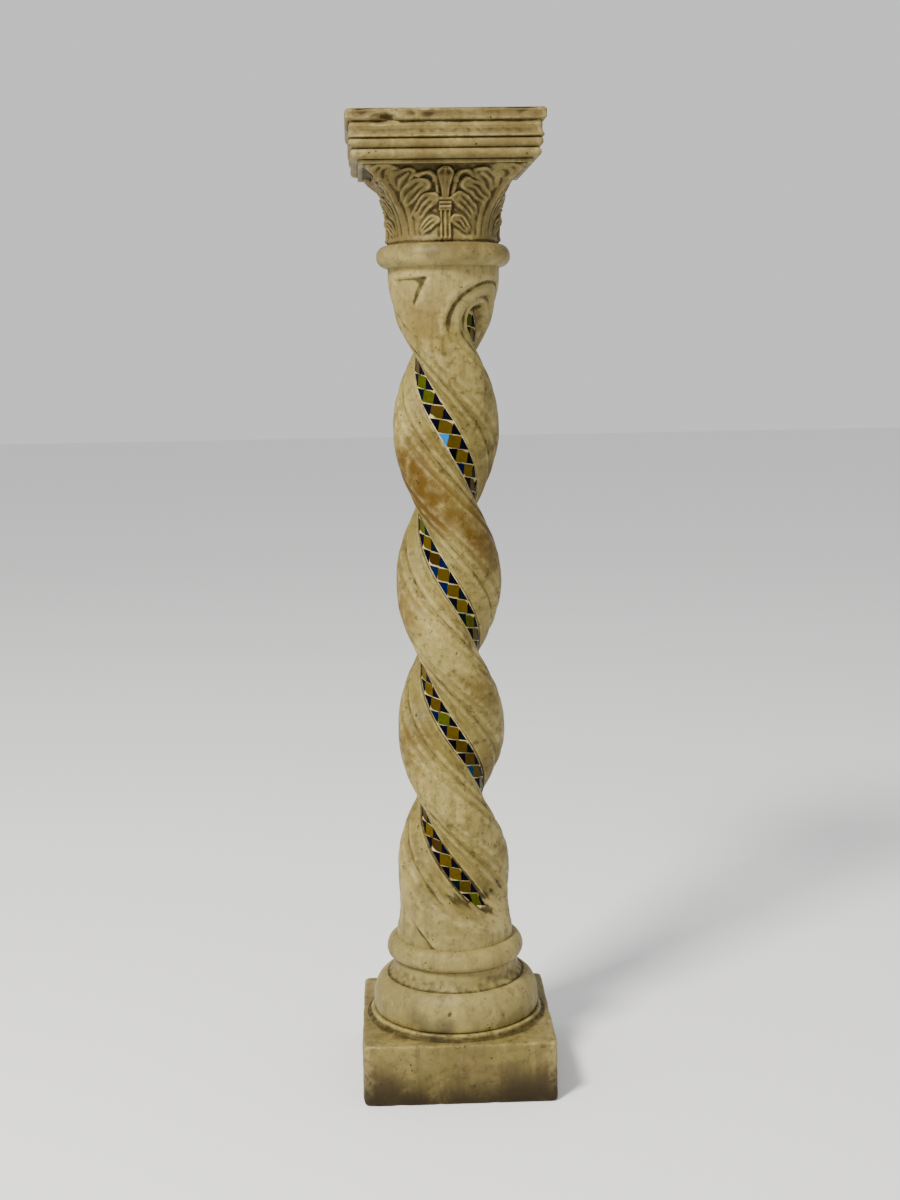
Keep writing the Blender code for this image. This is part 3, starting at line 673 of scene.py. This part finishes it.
def bell_radius(angles, share):
    """Radius of the bell at angles round the axis: round at the foot, square with drawn-out corners under
    the abacus, with soft folds beside the corners and a hollow behind the leaves' tips."""
    face_angle = (angles + math.pi / 4) % (math.pi / 2) - math.pi / 4
    from_corner = math.pi / 4 - np.abs(face_angle)
    flare = np.clip(share, 0, 1) ** BELL_FLARE_POWER
    half = BELL_FOOT_RADIUS + (BELL_HEAD_HALF_WIDTH - BELL_FOOT_RADIUS) * flare
    corner = CORNER_LEAF_REACH * fade(share, *CORNER_LEAF_RISE) * hump(from_corner, 0, CORNER_LEAF_ANGLE)
    ground = half * (1 + fade(share, 0.1, 1.0) * (1 / np.cos(face_angle) - 1)) + corner
    rib = CORNER_RIB * hump(from_corner, 0, math.radians(1.8))
    furrow = CORNER_FURROW * hump(from_corner, math.radians(4.5), math.radians(1.5))
    ground = ground + (rib - furrow) * fade(share, 0.3, 0.6)
    folds = 1 - fade(from_corner, math.radians(9), math.radians(17))
    folds = np.sin(from_corner / math.radians(1.1)) * folds
    ground = ground + CORNER_FOLDS * folds * span(share, 0.03, 0.15, 0.45, 0.75)
    sunk = BELL_SUNK * fade(share, 0.03, 0.12) + BELL_SUNK_BEHIND_TIPS * fade(share, 0.84, 0.93)
    ground = ground - sunk * fade(from_corner, math.radians(8), math.radians(14))
    return ground + leaf_relief(angles, face_angle, share)


# Chips on the abacus's front, each as place along x and z, radius and depth in millimetres. They are drawn
# out along x: their shape is read after x is shrunk by the first of these shares.
ABACUS_CHIPS = (
    (-60, 981, 6, 5.5), (-52, 981, 5, 4.0), (-86, 986, 10, 2.6), (-24, 984, 8, 1.8), (-8, 983, 7, 1.6),
    (22, 989, 14, 1.8), (42, 983, 9, 1.6), (60, 989, 12, 2.0), (84, 988, 12, 2.2), (92, 983, 7, 1.4),
    (-95, 936, 8, 2.6), (-96, 950, 9, 2.6), (-95, 966, 7, 2.2), (-66, 990, 10, 1.6), (4, 971, 2, 1.2),
    (38, 973, 2, 1.5), (-30, 966, 3, 0.8),
)
CHIP_STRETCH = (0.4, 1, 1)

# The ragged line of chips over the neck ring, each as degrees round the axis, radius and depth in
# millimetres, how they are flattened and how far from the axis and below the ring's top they lie
RING_CHIPS = (
    (-110, 5, 2.2), (-104, 4, 1.4), (-98, 6, 2.0), (-92, 5, 2.4), (-86, 4.5, 1.8), (-80, 5, 1.2),
    (-72, 4, 1.4), (-118, 3.5, 1.2), (-62, 4, 1.0), (-20, 5, 1.6), (40, 5, 1.6), (52, 4, 1.2),
    (120, 5, 1.8), (160, 4, 1.3),
)
RING_CHIP_STRETCH = (1, 1, 1.6)
RING_CHIP_REACH = BELL_FOOT_RADIUS + 1.5 * MM
RING_CHIP_DROP = 1 * MM

# The capital's mesh and its wear
CAPITAL_COLUMNS = 460
BELL_ROWS = 84
CAPITAL_LUMPS = ((0.30 * MM, 40 * MM, 7), (0.14 * MM, 10 * MM, 8))
CAPITAL_SWELL = 0.1 * MM
SLAB_WEAR = 0.4 * MM
SLAB_LUMPS = 0.5 * MM
TOP_WEAR = 0.5 * MM


def abacus_outline():
    """The abacus's profile from the bell up: a fillet, two rounds with dark quirks between them, a shallow
    cavetto and the slab."""
    half = ABACUS_WIDTH / 2
    foot = ABACUS_FOOT_WIDTH / 2
    fillet = ABACUS_FOOT + ABACUS_FOOT_FILLET
    slab = COLUMN_HEIGHT - SLAB_HEIGHT
    cavetto = slab - CAVETTO_HEIGHT
    return [
        (foot - 7 * MM, ABACUS_FOOT + 0.6 * MM),
        (foot, ABACUS_FOOT),
        (foot, fillet),
        (foot - 1.6 * MM, fillet + 0.6 * MM),
        *arc((half - 9.8 * MM, cavetto - 15.6 * MM), (4.8 * MM, 4.6 * MM), -70, 58, 12),
        (half - 8.2 * MM, cavetto - 11.3 * MM),
        (half - 7.6 * MM, cavetto - 10.6 * MM),
        *arc((half - 8.2 * MM, cavetto - 6 * MM), (4.8 * MM, 4.8 * MM), -62, 56, 12),
        (half - 6.4 * MM, cavetto - 1.4 * MM),
        (half - 2.6 * MM, cavetto - 0.9 * MM),
        (half - 2.4 * MM, cavetto + 0.5 * MM),
        (half - 3.0 * MM, cavetto + 1.2 * MM),
        *arc((half - 0.6 * MM, cavetto + 6.4 * MM), (CAVETTO_INSET - 0.6 * MM, 6.4 * MM), 232, 150, 9),
        (half - CAVETTO_INSET - 0.6 * MM, slab - 2.4 * MM),
        (half - CAVETTO_INSET - 0.8 * MM, slab - 0.6 * MM),
        (half - 1.8 * MM, slab),
        (half, slab + 1.5 * MM),
        (half, COLUMN_HEIGHT - 2 * MM),
        *arc((half - 2 * MM, COLUMN_HEIGHT - 2 * MM), (2 * MM, 2 * MM), 30, 90, 2),
        (half - 8 * MM, COLUMN_HEIGHT),
    ]


def make_capital():
    """Neck ring, leaf bell and square abacus, as one piece."""
    angles = 2 * math.pi * np.arange(CAPITAL_COLUMNS) / CAPITAL_COLUMNS
    middle = (SHAFT_HEAD + RING_HEAD) / 2
    depth = RING_HEIGHT * RING_ROUND_SHARE
    ring = [(SHAFT_HEAD_RADIUS - 5 * MM, SHAFT_HEAD + 0.8 * MM)]
    ring += arc((RING_RADIUS - depth, middle), (depth, RING_HEIGHT / 2), -86, 78, 30)
    rows = [(np.full(CAPITAL_COLUMNS, radius), z) for radius, z in evenly(ring, spacing=1.7 * MM)]
    for share in np.linspace(0.0, 0.995, BELL_ROWS):
        rows.append((bell_radius(angles, np.full(CAPITAL_COLUMNS, share)), RING_HEAD + share * BELL_HEIGHT))
    for reach, z in evenly(abacus_outline(), spacing=1.2 * MM):
        rows.append((square_reach(angles, reach, corner=2.2 * MM), z))

    turned = angles + CAPITAL_TURN
    grid = ring_grid(rows, turned)
    level = grid[:, :, 2].copy()
    outward = around_axis(1, turned, np.zeros(CAPITAL_COLUMNS))[None]
    slab = COLUMN_HEIGHT - SLAB_HEIGHT
    worn = uneven(grid, CAPITAL_LUMPS)
    slab_wear = SLAB_WEAR + SLAB_LUMPS * lumps(grid, 22 * MM, 9)
    worn = worn - fade(level, slab - 1 * MM, slab + 3 * MM) * slab_wear
    worn = np.where(level > ABACUS_FOOT, np.minimum(worn, CAPITAL_SWELL), worn)
    grid = grid + outward * worn[:, :, None]
    for degrees, size, deep in RING_CHIPS:
        spot = around_axis(RING_CHIP_REACH, math.radians(degrees), RING_HEAD - RING_CHIP_DROP)
        hit = dent(grid * RING_CHIP_STRETCH, spot * RING_CHIP_STRETCH, size * MM, deep * MM)
        grid = grid - outward * hit[:, :, None]
    below_top = 1 - fade(level, COLUMN_HEIGHT - 1e-6, COLUMN_HEIGHT)
    for x, z, size, deep in ABACUS_CHIPS:
        spot = np.array((x * MM, -ABACUS_WIDTH / 2 * 0.99, z * MM))
        hit = dent(grid * CHIP_STRETCH, spot * CHIP_STRETCH, size * MM, deep * MM)
        grid[:, :, 1] += hit * (grid[:, :, 1] < 0) * below_top
    top_edge = fade(level, COLUMN_HEIGHT - 5 * MM, COLUMN_HEIGHT - 1 * MM) * below_top
    grid[:, :, 2] -= top_edge * TOP_WEAR * (1 + lumps(grid, 15 * MM, 10))
    return piece_from_grid("column_capital", grid, hollow_scale=1.3 * MM)


def helix_point(groove, z, aside, proud=0.0):
    """A point on the mosaic's twisted face, at a height, a distance aside of the centre line and a little
    proud of the face."""
    middle = groove_angle(z) + groove
    outward = np.array((math.cos(middle), math.sin(middle), 0))
    sideways = np.array((-outward[1], outward[0], 0))
    point = outward * (mosaic_face(z) + proud) + sideways * aside
    point[2] = z
    return point


# The grout's strip: points up and across, how far it reaches past the glass, and how deep its face and its
# back lie under the glass
GROUT_ROWS = 320
GROUT_COLUMNS = 9
GROUT_OVERLAP = 0.75 * MM
GROUT_SINK = 0.55 * MM
GROUT_BACK = 1.7 * MM
GROUT_LUMPS = 0.12 * MM


def make_grout(name, groove):
    """The bed of grout that the glass is set in, a thin strip along the groove's floor."""
    sides = np.linspace(-1, 1, GROUT_COLUMNS)
    rows = []
    for z in np.linspace(MOSAIC_FOOT - 1 * MM, MOSAIC_HEAD + 1 * MM, GROUT_ROWS):
        half = mosaic_half_width(z) + GROUT_OVERLAP
        face = [helix_point(groove, z, side * half, -GROUT_SINK) for side in sides]
        back = [helix_point(groove, z, side * half, -GROUT_BACK) for side in (1, -1)]
        rows.append(face + back)
    grid = np.array(rows)
    lump = GROUT_LUMPS * lumps(grid, 5 * MM, 11)[:, :GROUT_COLUMNS, None]
    grid[:, :GROUT_COLUMNS] += lump * np.array([math.cos(0.3), math.sin(0.3), 0.2])
    return piece_from_grid(name, grid, hollow_scale=1.0 * MM)


def tile(form, corners, thickness, rim, layer, shade, tilt):
    """One glass piece: a flat face inside a narrow bevelled rim, and straight sides. shade is stored in
    the colour attribute, so each piece of glass has its own tone."""
    points = [Vector(corner) for corner in corners]
    middle = sum(points, Vector()) / len(points)
    normal = Vector()
    for a, b in zip(points, points[1:] + points[:1]):
        normal += (a - middle).cross(b - middle)
    normal.normalize()
    lean = normal.orthogonal()
    lean.rotate(Matrix.Rotation(tilt[0], 3, normal))
    inner, outer, back = [], [], []
    for point in points:
        flat = point - normal * (point - middle).dot(normal)
        rise = normal * ((flat - middle).dot(lean) * tilt[1])
        inward = (middle - flat).normalized()
        inner.append(form.verts.new(flat + inward * rim * 1.6 + rise))
        outer.append(form.verts.new(flat - normal * rim * 0.7 + rise))
        back.append(form.verts.new(flat - normal * thickness))
    faces = [form.faces.new(inner), form.faces.new(back[::-1])]
    count = len(points)
    for i in range(count):
        j = (i + 1) % count
        faces.append(form.faces.new((outer[i], outer[j], inner[j], inner[i])))
        faces.append(form.faces.new((back[i], back[j], outer[j], outer[i])))
    for vert in inner + outer + back:
        vert[layer] = shade


def inset(corners, gap):
    """The corners of a convex piece after each of its sides stands back by the gap."""
    result = []
    for before, corner, after in zip(corners[-1:] + corners[:-1], corners, corners[1:] + corners[:1]):
        u = (before - corner) / np.linalg.norm(before - corner)
        v = (after - corner) / np.linalg.norm(after - corner)
        result.append(corner + (u + v) * gap / np.linalg.norm(np.cross(u, v)))
    return result


# The glass pieces, measured on the mosaic's face: the gap to its edges, how much higher a gold square's right
# corner lies than its middle, the height from its middle to its top and how far the top leans aside
TILE_EDGE_GAP = 0.2 * MM
TILE_SIDE_RISE = 5.6 * MM
TILE_TOP = 7.4 * MM
TILE_LEAN = 1.6 * MM
GROUT_HALF_LINE = 0.42 * MM
TILE_THICKNESS = 1.6 * MM
TILE_RIM = 0.25 * MM

# What differs from one glass piece to the next: how far its corners stray and how much it leans, the share of
# bright blue among the navy triangles, and how short a triangle can be before it is left out
TILE_STRAY = 0.25 * MM
TILE_TILT = 0.05
BLUE_SHARE = 0.04
SHORTEST_TRIANGLE = 4 * MM

# Heights of some of each band's gold squares, in millimetres, by their number from the foot: the rows between
# them are evenly spaced
TILE_ROWS = (
    ((0, 193.7), (9, 328.7), (14, 402.3), (35, 718), (40, 793)),
    ((0, 193.8), (4, 252.4), (20, 488), (25, 570), (40, 795)),
)

# Triangles that stand out from the navy ones: band, side, height in millimetres and kind of glass
ODD_TRIANGLES = (
    (1, -1, 674, "turquoise"), (1, -1, 647, "blue"), (2, -1, 524, "blue"), (1, -1, 388, "blue"),
)
ODD_TRIANGLE_REACH = 7 * MM


def make_tiles(number, groove):
    """The glass of one band: gold squares, and dark triangles between them and the band's edges, each colour
    of glass an object of its own."""
    draw = random.Random(20 + number)
    forms = {}
    layers = {}
    for kind in GLASS:
        forms[kind] = bmesh.new()
        layers[kind] = forms[kind].verts.layers.float_color.new("tone")

    def lay(kind, corners):
        strayed = []
        for point in corners:
            strayed.append(point + [draw.uniform(-TILE_STRAY / MM, TILE_STRAY / MM) * MM for _ in range(3)])
        tone = (draw.random(), draw.random(), draw.random(), 1)
        tilt = (draw.uniform(0, 2 * math.pi), draw.uniform(0, TILE_TILT))
        corners = inset(strayed, GROUT_HALF_LINE)
        tile(forms[kind], corners, TILE_THICKNESS, TILE_RIM, layers[kind], tone, tilt)

    numbers, heights = np.array(TILE_ROWS[number - 1]).T
    levels = np.interp(np.arange(numbers[-1] + 1), numbers, heights) * MM
    for z, below in zip(levels, [levels[0] - 15 * MM, *levels[:-1]]):
        half = mosaic_half_width(z) - TILE_EDGE_GAP
        right = helix_point(groove, z + TILE_SIDE_RISE, half)
        left = helix_point(groove, z - TILE_SIDE_RISE, -half)
        high = helix_point(groove, z + TILE_TOP, -TILE_LEAN)
        low = helix_point(groove, z - TILE_TOP, TILE_LEAN)
        lay("gold", [low, right, high, left])
        for side in (1, -1):
            start = z + side * TILE_SIDE_RISE
            end = max(below + side * TILE_SIDE_RISE, MOSAIC_FOOT + 0.5 * MM)
            if start - end < SHORTEST_TRIANGLE:
                continue
            outer = helix_point(groove, start, side * (mosaic_half_width(start) - TILE_EDGE_GAP))
            lower = helix_point(groove, end, side * (mosaic_half_width(end) - TILE_EDGE_GAP))
            inner = helix_point(groove, (z + below) / 2, 0)
            kind = "blue" if draw.random() < BLUE_SHARE else "navy"
            for band, odd_side, height, odd_kind in ODD_TRIANGLES:
                near = abs((start + end) / 2 - height * MM) < ODD_TRIANGLE_REACH
                if near and (band, odd_side) == (number, side):
                    kind = odd_kind
            lay(kind, [inner, lower, outer] if side > 0 else [inner, outer, lower])
    made = []
    for kind, form in forms.items():
        if form.faces:
            name = f"mosaic_{kind}_{number}"
            mesh = bpy.data.meshes.new(name)
            form.normal_update()
            form.to_mesh(mesh)
            made.append((kind, placed(name, mesh)))
        form.free()
    return made


class Nodes:
    """Short ways to add and join shader nodes."""

    def __init__(self, name):
        self.material = bpy.data.materials.new(name)
        self.material.use_nodes = True
        self.tree = self.material.node_tree
        self.shader = self.tree.nodes["Principled BSDF"]
        self.place = self.add("ShaderNodeTexCoord", {})["Object"]

    def add(self, kind, inputs, **settings):
        """A new node's outputs, with its inputs given by name or number."""
        node = self.tree.nodes.new(kind)
        for key, value in settings.items():
            setattr(node, key, value)
        self.fill(node, inputs)
        return node.outputs

    def fill(self, node, inputs):
        """Give a node's inputs their values, or link them to other nodes."""
        for key, value in inputs.items():
            if isinstance(value, bpy.types.NodeSocket):
                self.tree.links.new(value, node.inputs[key])
            else:
                node.inputs[key].default_value = value

    def noise(self, scale, detail=4.0, roughness=0.55, distortion=0.0, place=None):
        inputs = {"Scale": scale, "Detail": detail, "Roughness": roughness, "Distortion": distortion}
        return self.add("ShaderNodeTexNoise", {"Vector": place or self.place, **inputs})["Fac"]

    def stretch(self, value, low, high, to_low=0.0, to_high=1.0):
        """The value's way from low to high as one from to_low to to_high, eased at both ends."""
        inputs = {"From Min": low, "From Max": high, "To Min": to_low, "To Max": to_high, "Value": value}
        return self.add("ShaderNodeMapRange", inputs, interpolation_type="SMOOTHSTEP")["Result"]

    def math(self, operation, a, b):
        return self.add("ShaderNodeMath", {0: a, 1: b}, operation=operation)[0]

    def times(self, a, b):
        return self.math("MULTIPLY", a, b)

    def vector(self, operation, *values):
        return self.add("ShaderNodeVectorMath", dict(enumerate(values)), operation=operation)["Vector"]

    def mix(self, share, a, b):
        return self.add("ShaderNodeMix", {0: share, 6: a, 7: b}, data_type="RGBA")[2]

    def near(self, centre, radius, softness):
        """1 near a place on the object, 0 away from it."""
        away = self.add("ShaderNodeVectorMath", {0: self.place, 1: centre}, operation="DISTANCE")["Value"]
        return self.stretch(away, radius + softness, radius)

    def channel(self, name):
        stored = self.add("ShaderNodeAttribute", {}, attribute_name=name)["Color"]
        return self.add("ShaderNodeSeparateColor", {0: stored})

    def bump(self, strength, distance, height):
        """Bend the shader's normal by a height."""
        inputs = {"Strength": strength, "Distance": distance, "Height": height}
        self.fill(self.shader, {"Normal": self.add("ShaderNodeBump", inputs)["Normal"]})

    def finish(self, base, roughness, gloss):
        """Give the shader its colour, roughness and gloss."""
        self.fill(self.shader, {"Base Color": base, "Roughness": roughness, "Specular IOR Level": gloss})


def colour(red, green, blue):
    """An sRGB colour of 0 to 255 as the linear colour that shaders take."""
    linear = []
    for value in (red, green, blue):
        value /= 255
        linear.append(value / 12.92 if value <= 0.04045 else ((value + 0.055) / 1.055) ** 2.4)
    return (*linear, 1.0)


# Stains read off the photograph: place on the object in millimetres, reach, softness and strength
AMBER_STAINS = (
    ((-46, -34, 640), 16, 30, 1.0), ((-34, -44, 622), 18, 26, 1.0), ((-12, -54, 606), 14, 24, 0.9),
    ((34, -42, 588), 16, 26, 0.9), ((46, -30, 562), 14, 24, 0.8), ((-20, -55, 800), 16, 30, 0.4),
    ((-52, -30, 500), 14, 26, 0.6), ((-46, -34, 360), 14, 26, 0.5), ((40, -44, 420), 12, 26, 0.5),
    ((45, 40, 640), 22, 30, 0.8), ((-40, 45, 480), 24, 34, 0.7), ((10, 58, 720), 22, 30, 0.6),
    ((56, 10, 330), 18, 30, 0.6),
)
DARK_STAINS = (
    ((62, -98, 10), 10, 20, 0.8), ((54, -98, 34), 5, 14, 0.6), ((-82, -98, 8), 16, 30, 0.8),
    ((92, -95, 20), 10, 24, 0.8), ((-30, -84, 74), 6, 16, 0.7), ((-14, -87, 78), 4, 12, 0.9),
    ((-44, -74, 84), 4, 9, 0.6), ((-12, -66, 866), 6, 12, 0.8), ((-36, -56, 868), 5, 10, 0.7),
    ((8, -64, 868), 5, 10, 0.6), ((30, -62, 866), 4, 10, 0.5),
)


def stone_material():
    """Carved stone with an uneven warm patina, dirt and painted shade in its hollows, and rubbed edges with
    painted highlights.
    """
    n = Nodes("patinated_stone")
    relief = n.channel("relief")
    broad = n.noise(7.0, 5.0, 0.6, 0.7)
    cloudy = n.noise(24.0, 7.0, 0.66, 0.5)
    fine = n.noise(120.0, 7.0, 0.7)
    grain = n.noise(520.0, 4.0, 0.6)
    drips = n.noise(110.0, 4.0, 0.6, place=n.vector("MULTIPLY", n.place, (1.0, 1.0, 0.12)))
    streaks = n.noise(90.0, 6.0, 0.65, 0.6, place=n.vector("MULTIPLY", n.place, (0.3, 0.3, 1.6)))
    up = n.add("ShaderNodeSeparateXYZ", {0: n.place})["Z"]

    # Patterns over the ground: the noise, where it starts and is full, its share and its tone
    base = n.mix(n.stretch(broad, 0.36, 0.66), colour(108, 96, 46), colour(140, 125, 70))
    for pattern, start, full, share, tone in (
        (cloudy, 0.48, 0.70, 0.65, (84, 68, 28)),
        (cloudy, 0.46, 0.26, 0.5, (158, 143, 90)),
        (drips, 0.50, 0.66, 0.45, (72, 57, 24)),
        (fine, 0.52, 0.68, 0.65, (58, 45, 18)),
        (fine, 0.44, 0.24, 0.4, (170, 156, 108)),
    ):
        base = n.mix(n.stretch(pattern, start, full, 0, share), base, colour(*tone))
    for stains, tone in ((AMBER_STAINS, (78, 56, 0)), (DARK_STAINS, (34, 26, 8))):
        for centre, reach, softness, strength in stains:
            near = n.near([value * MM for value in centre], reach * MM, softness * MM)
            broken = n.times(near, n.stretch(cloudy, 0.22, 0.50, 0.4 * strength, strength))
            base = n.mix(broken, base, colour(*tone))

    # Zones, between heights in metres: pale at both ends of the shaft, then the plinth, the slab, the head
    # and, later, the dirt near the ground, each broken up by a noise, with its share and its tone
    pale = n.math("ADD", n.stretch(up, 0.27, 0.13), n.stretch(up, 0.77, 0.83))
    base = n.mix(n.times(pale, n.stretch(up, 0.066, 0.076, 0.0, 0.16)), base, colour(182, 166, 118))
    for heights, noise, share, tone in (
        ((0.068, 0.060), (cloudy, 0.30, 0.60, 0.35, 0.85), 0.55, (90, 76, 50)),
        ((0.9795, 0.9830), (streaks, 0.40, 0.60, 0.25, 1.0), 0.85, (80, 66, 48)),
        ((0.842, 0.872), (cloudy, 0.30, 0.55, 0.25, 0.75), 1.0, (88, 73, 36)),
    ):
        zone = n.times(n.stretch(up, *heights), n.stretch(*noise))
        base = n.mix(n.times(zone, share), base, colour(*tone))

    # Hairline cracks along wandering cell borders, then dirt and painted shade in the hollows, rubbed edges
    # with painted highlights, and low dirt
    wander = n.add("ShaderNodeTexNoise", {"Vector": n.place, "Scale": 60.0})["Color"]
    bent = n.vector("MULTIPLY_ADD", wander, (0.02, 0.02, 0.02), n.place)
    veins = n.add("ShaderNodeTexVoronoi", {"Vector": bent, "Scale": 42.0}, feature="DISTANCE_TO_EDGE")
    hairline = n.times(n.stretch(veins["Distance"], 0.022, 0.0), n.stretch(broad, 0.48, 0.60))
    base = n.mix(n.times(hairline, 0.4), base, colour(66, 52, 22))
    # Painted shade: hollows are darkened to stand in for the shade in grooves and quirks, together with their
    # dirt
    crevice_dirt_and_shade = n.times(n.stretch(relief[0], 0.03, 0.62), n.stretch(fine, 0.30, 0.60, 0.55, 1.0))
    base = n.mix(n.times(crevice_dirt_and_shade, 0.88), base, colour(42, 33, 8))
    # Painted highlight: proud edges are lightened to stand in for the light along the ridges, together with
    # their rubbed wear
    rubbed_and_highlight = n.times(n.stretch(relief[1], 0.40, 1.6), n.stretch(fine, 0.66, 0.36, 0.0, 0.6))
    base = n.mix(rubbed_and_highlight, base, colour(188, 172, 118))
    grime = n.times(n.stretch(up, 0.048, 0.000), n.stretch(cloudy, 0.24, 0.52, 0.62, 1.0))
    base = n.mix(n.times(grime, 0.96), base, colour(34, 25, 6))

    pits = n.add("ShaderNodeTexVoronoi", {"Vector": n.place, "Scale": 190.0})["Distance"]
    pit = n.times(n.stretch(pits, 0.26, 0.08), n.stretch(n.noise(55.0), 0.57, 0.64))
    base = n.mix(n.times(pit, 0.85), base, colour(40, 28, 12))
    rough = n.stretch(cloudy, 0.3, 0.7, 0.42, 0.62)
    n.finish(base, roughness=n.math("ADD", rough, n.times(crevice_dirt_and_shade, 0.25)), gloss=0.16)
    height = n.math("ADD", n.times(fine, 0.6), n.times(grain, 0.2))
    height = n.math("SUBTRACT", n.math("ADD", height, n.times(cloudy, 1.1)), pit)
    n.bump(strength=0.8, distance=1.0 * MM, height=height)
    return n.material


def grout_material():
    """Cream grout, a little mottled and rough."""
    n = Nodes("cream_grout")
    cloudy = n.noise(90.0, 5.0, 0.6)
    base = n.mix(n.stretch(cloudy, 0.35, 0.65), colour(186, 172, 120), colour(132, 118, 74))
    n.finish(base, roughness=0.8, gloss=0.5)
    n.bump(strength=0.5, distance=0.4 * MM, height=n.noise(500.0))
    return n.material


# Kinds of glass: dull, bright and accent colour, the tone above which a piece has the accent, and its dirt
GLASS = {
    "gold": ((46, 28, 0), (86, 70, 0), (62, 68, 0), 0.74, 0.25),
    "navy": ((0, 0, 6), (1, 1, 22), (0, 14, 22), 0.88, 0.03),
    "blue": ((0, 4, 40), (0, 26, 70), (2, 52, 72), 0.7, 0.08),
    "turquoise": ((6, 90, 150), (30, 132, 186), (30, 132, 186), 0.9, 0.08),
}


def glass_material(kind):
    """Glass whose tone differs from piece to piece: between a dull and a bright colour, with an accent on
    a few pieces, mottled, and dusty in patches."""
    *tones, accent_from, dirt = GLASS[kind]
    dull, bright, accent = (colour(*tone) for tone in tones)
    n = Nodes(f"{kind}_glass")
    tone = n.channel("tone")
    mottle = n.noise(260.0, 4.0, 0.6, 0.8)
    base = n.mix(tone[0], dull, bright)
    base = n.mix(n.stretch(tone[1], accent_from, accent_from + 0.01), base, accent)
    base = n.mix(n.stretch(mottle, 0.40, 0.70, 0, 0.45), base, dull)
    dust = n.times(n.stretch(n.noise(55.0, 5.0), 0.48, 0.72), dirt)
    base = n.mix(dust, base, colour(60, 52, 26))
    n.finish(base, roughness=n.math("ADD", 0.34, n.times(dust, 0.4)), gloss=0.03)
    n.bump(strength=0.35, distance=0.3 * MM, height=n.noise(180.0, 3.0))
    return n.material


def dress(item, material, slot, *nodes):
    """Give a piece its material, hang it under the root and hide the imported solids it stands for."""
    item.data.materials.append(material)
    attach(item, "root")
    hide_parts(*nodes)


FLOOR_SIZE = 30.0
FLOOR_DROP = 0.2 * MM
FLOOR_TONE = (0.86, 0.86, 0.86, 1)
SKY_STRENGTH = 0.8
LAMP_PLACE = (-1.5, -1.9, 3.0)
LAMP_TARGET = (0, 0, 0.55)
LAMP_SIZE = 0.7
LAMP_WATTS = 230
LAMP_TINT = (1, 0.98, 0.92)


def make_floor():
    """A wide pale floor, as part of the stage."""
    bpy.ops.mesh.primitive_plane_add(size=FLOOR_SIZE, location=(0, 0, -FLOOR_DROP))
    floor = bpy.context.object
    floor.name = "floor"
    n = Nodes("pale_floor")
    n.finish(FLOOR_TONE, roughness=0.9, gloss=0.1)
    floor.data.materials.append(n.material)


def make_light():
    """Soft light from all around, and one warm lamp high on the left of the front."""
    world = bpy.data.worlds.new("studio")
    world.use_nodes = True
    background = world.node_tree.nodes["Background"]
    background.inputs["Color"].default_value = (1, 1, 1, 1)
    background.inputs["Strength"].default_value = SKY_STRENGTH
    bpy.context.scene.world = world
    data = bpy.data.lights.new("key", "AREA")
    data.shape = "RECTANGLE"
    data.size = data.size_y = LAMP_SIZE
    data.energy = LAMP_WATTS
    data.color = LAMP_TINT
    lamp = placed("key", data)
    lamp.location = LAMP_PLACE
    lamp.rotation_euler = (Vector(LAMP_TARGET) - Vector(LAMP_PLACE)).to_track_quat("-Z", "Y").to_euler()


# The photograph's camera, from a fit of its outline: focal length in pixels of a 1200 pixel high frame
FOCAL_PIXELS = 1683
FRAME_HEIGHT = 1200
CAMERA_PLACE = (-0.0559, -1.7311, 0.7555)
CAMERA_YAW = math.radians(-1.88)
CAMERA_PITCH = math.radians(8.15)
CAMERA_ROLL = math.radians(-1.0)


def make_camera():
    data = bpy.data.cameras.new("camera")
    data.sensor_width = 36
    data.lens = FOCAL_PIXELS * data.sensor_width / FRAME_HEIGHT
    item = placed("camera", data)
    turn = Matrix.Rotation(CAMERA_YAW, 4, "Z") @ Matrix.Rotation(math.pi / 2 - CAMERA_PITCH, 4, "X")
    item.matrix_world = Matrix.Translation(CAMERA_PLACE) @ turn @ Matrix.Rotation(CAMERA_ROLL, 4, "Z")
    bpy.context.scene.camera = item


make_camera()
stone = stone_material()
for piece in (make_foot(), make_shaft(), make_capital()):
    dress(piece, stone, "stone", "column")

glass = {kind: glass_material(kind) for kind in GLASS}
grout = grout_material()
for number, groove in enumerate((0, math.pi), start=1):
    node = f"mosaic_band_{number}"
    dress(make_grout(f"mosaic_grout_{number}", groove), grout, "glass_mosaic", node)
    for kind, piece in make_tiles(number, groove):
        dress(piece, glass[kind], "glass_mosaic", node)

make_floor()
make_light()
